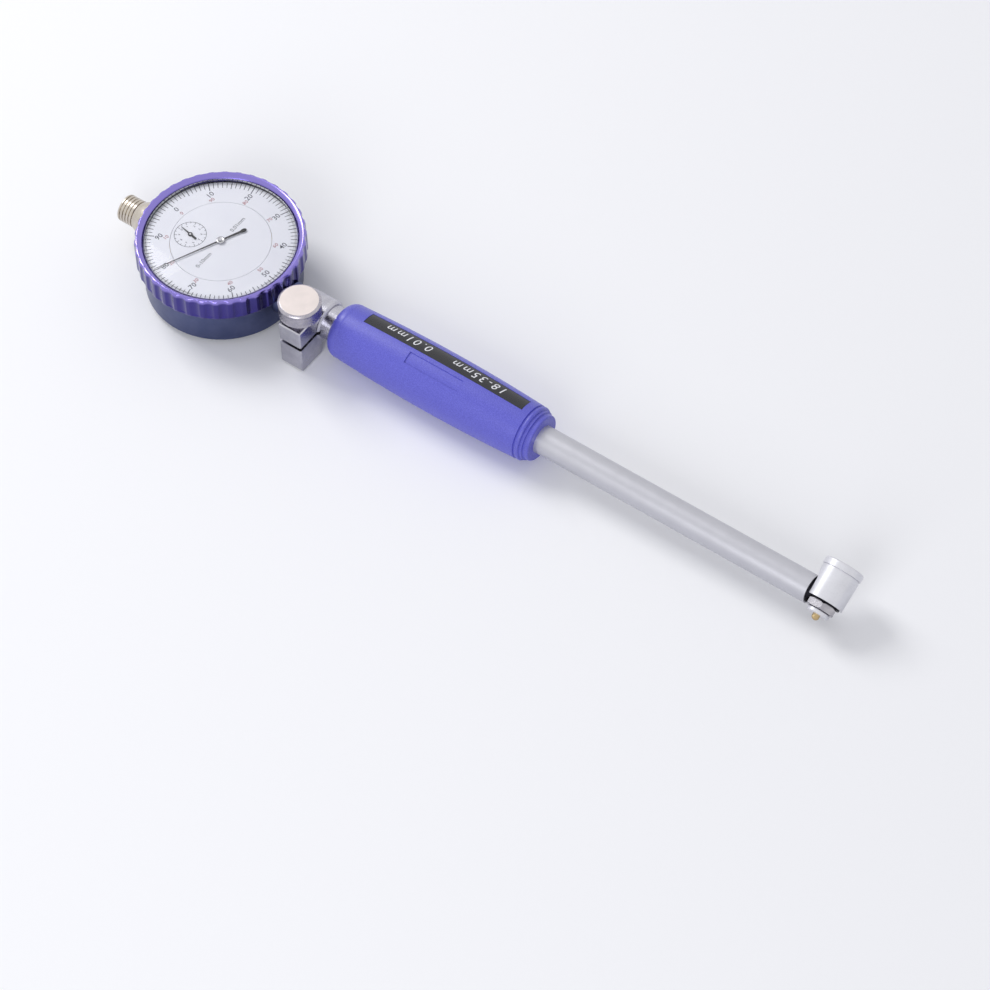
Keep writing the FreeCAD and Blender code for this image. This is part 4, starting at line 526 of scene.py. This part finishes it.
def bezel():
    """Fluted ring: hollows that run up into a polished rim and scallop its outer edge."""
    low, high = box_mm("bezel")
    bottom, top = low.z, high.z
    outer = min(high.x, high.y) - 0.005

    def hollow(angle):
        share = (angle / (2 * math.pi) * FLUTES) % 1.0
        if share < FLUTE_LAND:
            return 0.0
        return math.sin(math.pi * (share - FLUTE_LAND) / (1 - FLUTE_LAND)) ** 0.8

    skirt_top = top - 1.9
    profile = [(27.24, bottom + 0.05), (27.6, bottom), (28.9, bottom), (29.2, bottom + 0.12),
               (outer - 0.06, bottom + 0.35), (outer, bottom + 0.7)]
    profile += [(outer, bottom + 0.7 + (skirt_top - bottom - 0.7) * index / SKIRT_ROWS)
                for index in range(1, SKIRT_ROWS + 1)]
    profile += [(outer, top - 1.5), (outer, top - 1.2), (outer - 0.03, top - 0.95),
                (outer - 0.12, top - 0.7), (outer - 0.28, top - 0.47), (29.0, top - 0.27),
                (28.78, top - 0.12), (28.55, top - 0.03), (28.3, top), (28.0, top - 0.08),
                (27.7, top - 0.25), (27.2, top - 0.55), (26.8, top - 0.85), (26.45, top - 1.15),
                (LIP + 0.06, top - 1.45), (LIP, top - 1.55), (LIP, top - 1.85)]

    def weight(radius, height):
        """How deep the hollows cut there: none inside, part at the foot, fading into the rim."""
        if height < bottom + 0.1 or radius < 28.25:
            return 0.0
        if height < bottom + 0.5:
            return 0.6
        return min(1.0, max(0.0, (top - 0.05 - height) / 0.55)) ** 0.5

    weights = [weight(radius, height) for radius, height in profile]

    def wobble(row, angle):
        return -FLUTE_DEPTH * weights[row] * hollow(angle)

    verts, faces = lathe(profile, FLUTES * FLUTE_STEPS, wobble=wobble)
    ring = object_from("bezel_ring", verts, faces, MATERIALS["bezel"], "bezel_set",
                       sharp=50)
    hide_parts("bezel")


def window():
    """Clear pane with a stepped foot and a rounded outer edge."""
    low, high = box_mm("crystal")
    seat, top = low.z, high.z
    profile = [(0.0, top - 1.0), (24.6, top - 1.0), (25.15, top - 1.15), (25.15, seat), (27.0, seat),
               (27.0, seat + 0.6), (26.15, seat + 0.6), (26.15, top - 0.5), (26.1, top - 0.3),
               (25.97, top - 0.13), (25.75, top - 0.03), (25.5, top), (0.0, top)]
    verts, faces = lathe(profile, 192)
    pane = object_from("dial_window", verts, faces, MATERIALS["window"], "bezel_set",
                       sharp=50)
    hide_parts("crystal")


# ---- clamp knob ----------------------------------------------------------------------------------
KNOB_RADIUS = 7.45          # over the knurl
KNOB_HEIGHT = 6.1
KNOB_NECK = 2.6             # from the lug to the knob
KNURL_HEIGHT = 4.5
KNURL_ROWS = 14
KNURL_TEETH = 45
KNURL_TWIST = 3.4           # teeth that a line passes on its way up
KNURL_DEPTH = 0.26


def knob():
    """Knurled nickel knob with a faced top, on its neck and shank."""
    low, high = box_mm("clamp_screw")
    top = high.z
    under = top - KNOB_HEIGHT
    lug_top = under - KNOB_NECK
    profile = [(2.0, low.z), (2.0, lug_top), (4.4, lug_top), (4.6, lug_top + 0.15), (4.6, under),
               (7.0, under), (7.35, under + 0.12), (KNOB_RADIUS, under + 0.4)]
    start = len(profile)
    profile += [(KNOB_RADIUS, under + 0.4 + (KNURL_HEIGHT * index) / KNURL_ROWS)
                for index in range(1, KNURL_ROWS)]
    end = len(profile)
    profile += [(KNOB_RADIUS, under + 5.0), (7.5, under + 5.12), (7.5, top - 0.75), (7.4, top - 0.6),
                (6.75, top - 0.06), (6.6, top)]

    def wobble(row, angle):
        """Two sets of slanted grooves that cross."""
        if not start <= row < end:
            return 0
        twist = (row - start) / (end - start) * KNURL_TWIST
        first = abs(((angle / (2 * math.pi) * KNURL_TEETH + twist) % 1) - 0.5) * 2
        second = abs(((angle / (2 * math.pi) * KNURL_TEETH - twist) % 1) - 0.5) * 2
        return -KNURL_DEPTH * (1 - min(first, second))

    verts, faces = lathe(profile, 4 * KNURL_TEETH, KNOB, wobble)
    body = object_from("knob_body", verts, faces, MATERIALS["knob"], "clamping_screw",
                       sharp=40)
    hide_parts("clamp_screw")
    verts, faces = lathe([(6.62, top - 0.004), (6.3, top), (0.0, top)], 96, KNOB)
    object_from("knob_face", verts, faces, MATERIALS["knob_top"], "clamping_screw")


# ---- label ---------------------------------------------------------------------------------------
GRIP_END_RADIUS = 9.9           # at the ends of its bulge
GRIP_BULGE = 1.05           # added at the middle
GRIP_MIDDLE = 91.3          # X of the bulge's middle
GRIP_HALF = 36.9            # from there to where the bulge ends
LABEL_FACE = -0.1           # the label's face from the grip's outline
LABEL_INK = 0.02            # the lettering above that face
LABEL_TILT = 15.5           # the label's middle from straight up, degrees
LABEL_LETTERS = {"shear": 0.2, "spacing": 1.3, "resolution": 3, "slices": 10}
LABEL_SIZE = 4.6


def label_text():
    """White lettering wrapped on the label, read from the tube's side towards the dial."""
    low, high = box_mm("range_label")
    middle = (low.x + high.x) / 2
    tilt = math.radians(LABEL_TILT)

    def wrap(start):
        def to_place(u, v):
            x = start - u
            swell = GRIP_BULGE * (1 - ((x - GRIP_MIDDLE) / GRIP_HALF) ** 2)
            radius = GRIP_END_RADIUS + swell + LABEL_FACE + LABEL_INK
            angle = tilt - v / radius
            return x, radius * math.sin(angle), AXIS_HEIGHT + radius * math.cos(angle)
        return to_place

    lettering("label_range_text", "18-35mm", LABEL_SIZE, MATERIALS["label_ink"], "gauge_body",
              wrap(middle + 13.0), **LABEL_LETTERS)
    lettering("label_division_text", "0.01mm", LABEL_SIZE, MATERIALS["label_ink"], "gauge_body",
              wrap(middle - 15.5), **LABEL_LETTERS)


ring_marks()
fixed_marks()
pointer()
bezel()
window()
knob()
label_text()


# ---- floor, light, camera, in metres -------------------------------------------------------------
AIM = (0.12, 0, 0.01)                   # near the gauge's middle, for the lamps
FLOOR_DROP = 0.0002                     # the floor lies this far under the gauge
VIEW_TARGET = (134.21, -27.59, 11.0)    # the point that the camera looks at, mm
VIEW_DISTANCE = 1.46236
VIEW_ANGLES = (37.3, 53.4, -1.96)       # azimuth, elevation and roll, degrees
SENSOR_WIDTH = 36                       # mm
FOCAL_LENGTH = 162.43                   # mm


def floor():
    """Wide pale ground."""
    bpy.ops.mesh.primitive_plane_add(size=6, location=(0.12, 0, -FLOOR_DROP))
    plane = bpy.context.object
    plane.name = "floor"
    material = bpy.data.materials.new("floor")
    material.use_nodes = True
    shader = material.node_tree.nodes["Principled BSDF"]
    shader.inputs["Base Color"].default_value = (0.93, 0.93, 0.94, 1)
    shader.inputs["Roughness"].default_value = 0.8
    plane.data.materials.append(material)


def lamp(name, place, size, watts, color=(1, 1, 1)):
    """Square soft light turned towards the gauge."""
    data = bpy.data.lights.new(name, "AREA")
    data.shape = "SQUARE"
    data.size = size
    data.energy = watts
    data.color = color
    piece = bpy.data.objects.new(name, data)
    piece.location = place
    beam = Vector(AIM) - Vector(place)
    piece.rotation_euler = beam.to_track_quat("-Z", "Y").to_euler()
    bpy.context.scene.collection.objects.link(piece)


def world():
    """Soft pale light all round, seen as white by the camera, in gloss and through glass."""
    scene_world = bpy.data.worlds.new("studio")
    bpy.context.scene.world = scene_world
    scene_world.use_nodes = True
    tree = scene_world.node_tree
    background = tree.nodes["Background"]
    background.inputs["Color"].default_value = (0.93, 0.94, 1.0, 1)
    background.inputs["Strength"].default_value = 0.55
    white = tree.nodes.new("ShaderNodeBackground")
    white.inputs["Color"].default_value = (1, 1, 1, 1)
    white.inputs["Strength"].default_value = 1.0
    path = tree.nodes.new("ShaderNodeLightPath")
    shown = path.outputs["Is Camera Ray"]
    for kind in ("Is Glossy Ray", "Is Transmission Ray"):
        either = tree.nodes.new("ShaderNodeMath")
        either.operation = "MAXIMUM"
        tree.links.new(shown, either.inputs[0])
        tree.links.new(path.outputs[kind], either.inputs[1])
        shown = either.outputs["Value"]
    mix = tree.nodes.new("ShaderNodeMixShader")
    tree.links.new(shown, mix.inputs["Fac"])
    tree.links.new(background.outputs["Background"], mix.inputs[1])
    tree.links.new(white.outputs["Background"], mix.inputs[2])
    tree.links.new(mix.outputs["Shader"], tree.nodes["World Output"].inputs["Surface"])


def camera():
    """Long lens from above the gauge's side, rolled a little."""
    azimuth, elevation, roll = (math.radians(angle) for angle in VIEW_ANGLES)
    target = Vector(VIEW_TARGET) * MM
    back = Vector((math.sin(azimuth) * math.cos(elevation), -math.cos(azimuth) * math.cos(elevation),
                   math.sin(elevation)))
    level = Vector((math.cos(azimuth), math.sin(azimuth), 0))
    upright = back.cross(level)
    right = level * math.cos(roll) + upright * math.sin(roll)
    up = upright * math.cos(roll) - level * math.sin(roll)
    data = bpy.data.cameras.new("camera")
    data.sensor_width = SENSOR_WIDTH
    data.lens = FOCAL_LENGTH
    data.clip_end = 20
    piece = bpy.data.objects.new("camera", data)
    place = target + back * VIEW_DISTANCE
    piece.matrix_world = Matrix((
        (right.x, up.x, back.x, place.x),
        (right.y, up.y, back.y, place.y),
        (right.z, up.z, back.z, place.z),
        (0, 0, 0, 1)))
    bpy.context.scene.collection.objects.link(piece)
    bpy.context.scene.camera = piece


floor()
lamp("key", (-1.0, 0.15, 1.05), 0.7, 11.0)
lamp("fill", (0.35, -1.25, 0.75), 0.8, 7.0, (0.97, 0.98, 1))
world()
camera()
bpy.context.scene.view_settings.view_transform = "Standard"
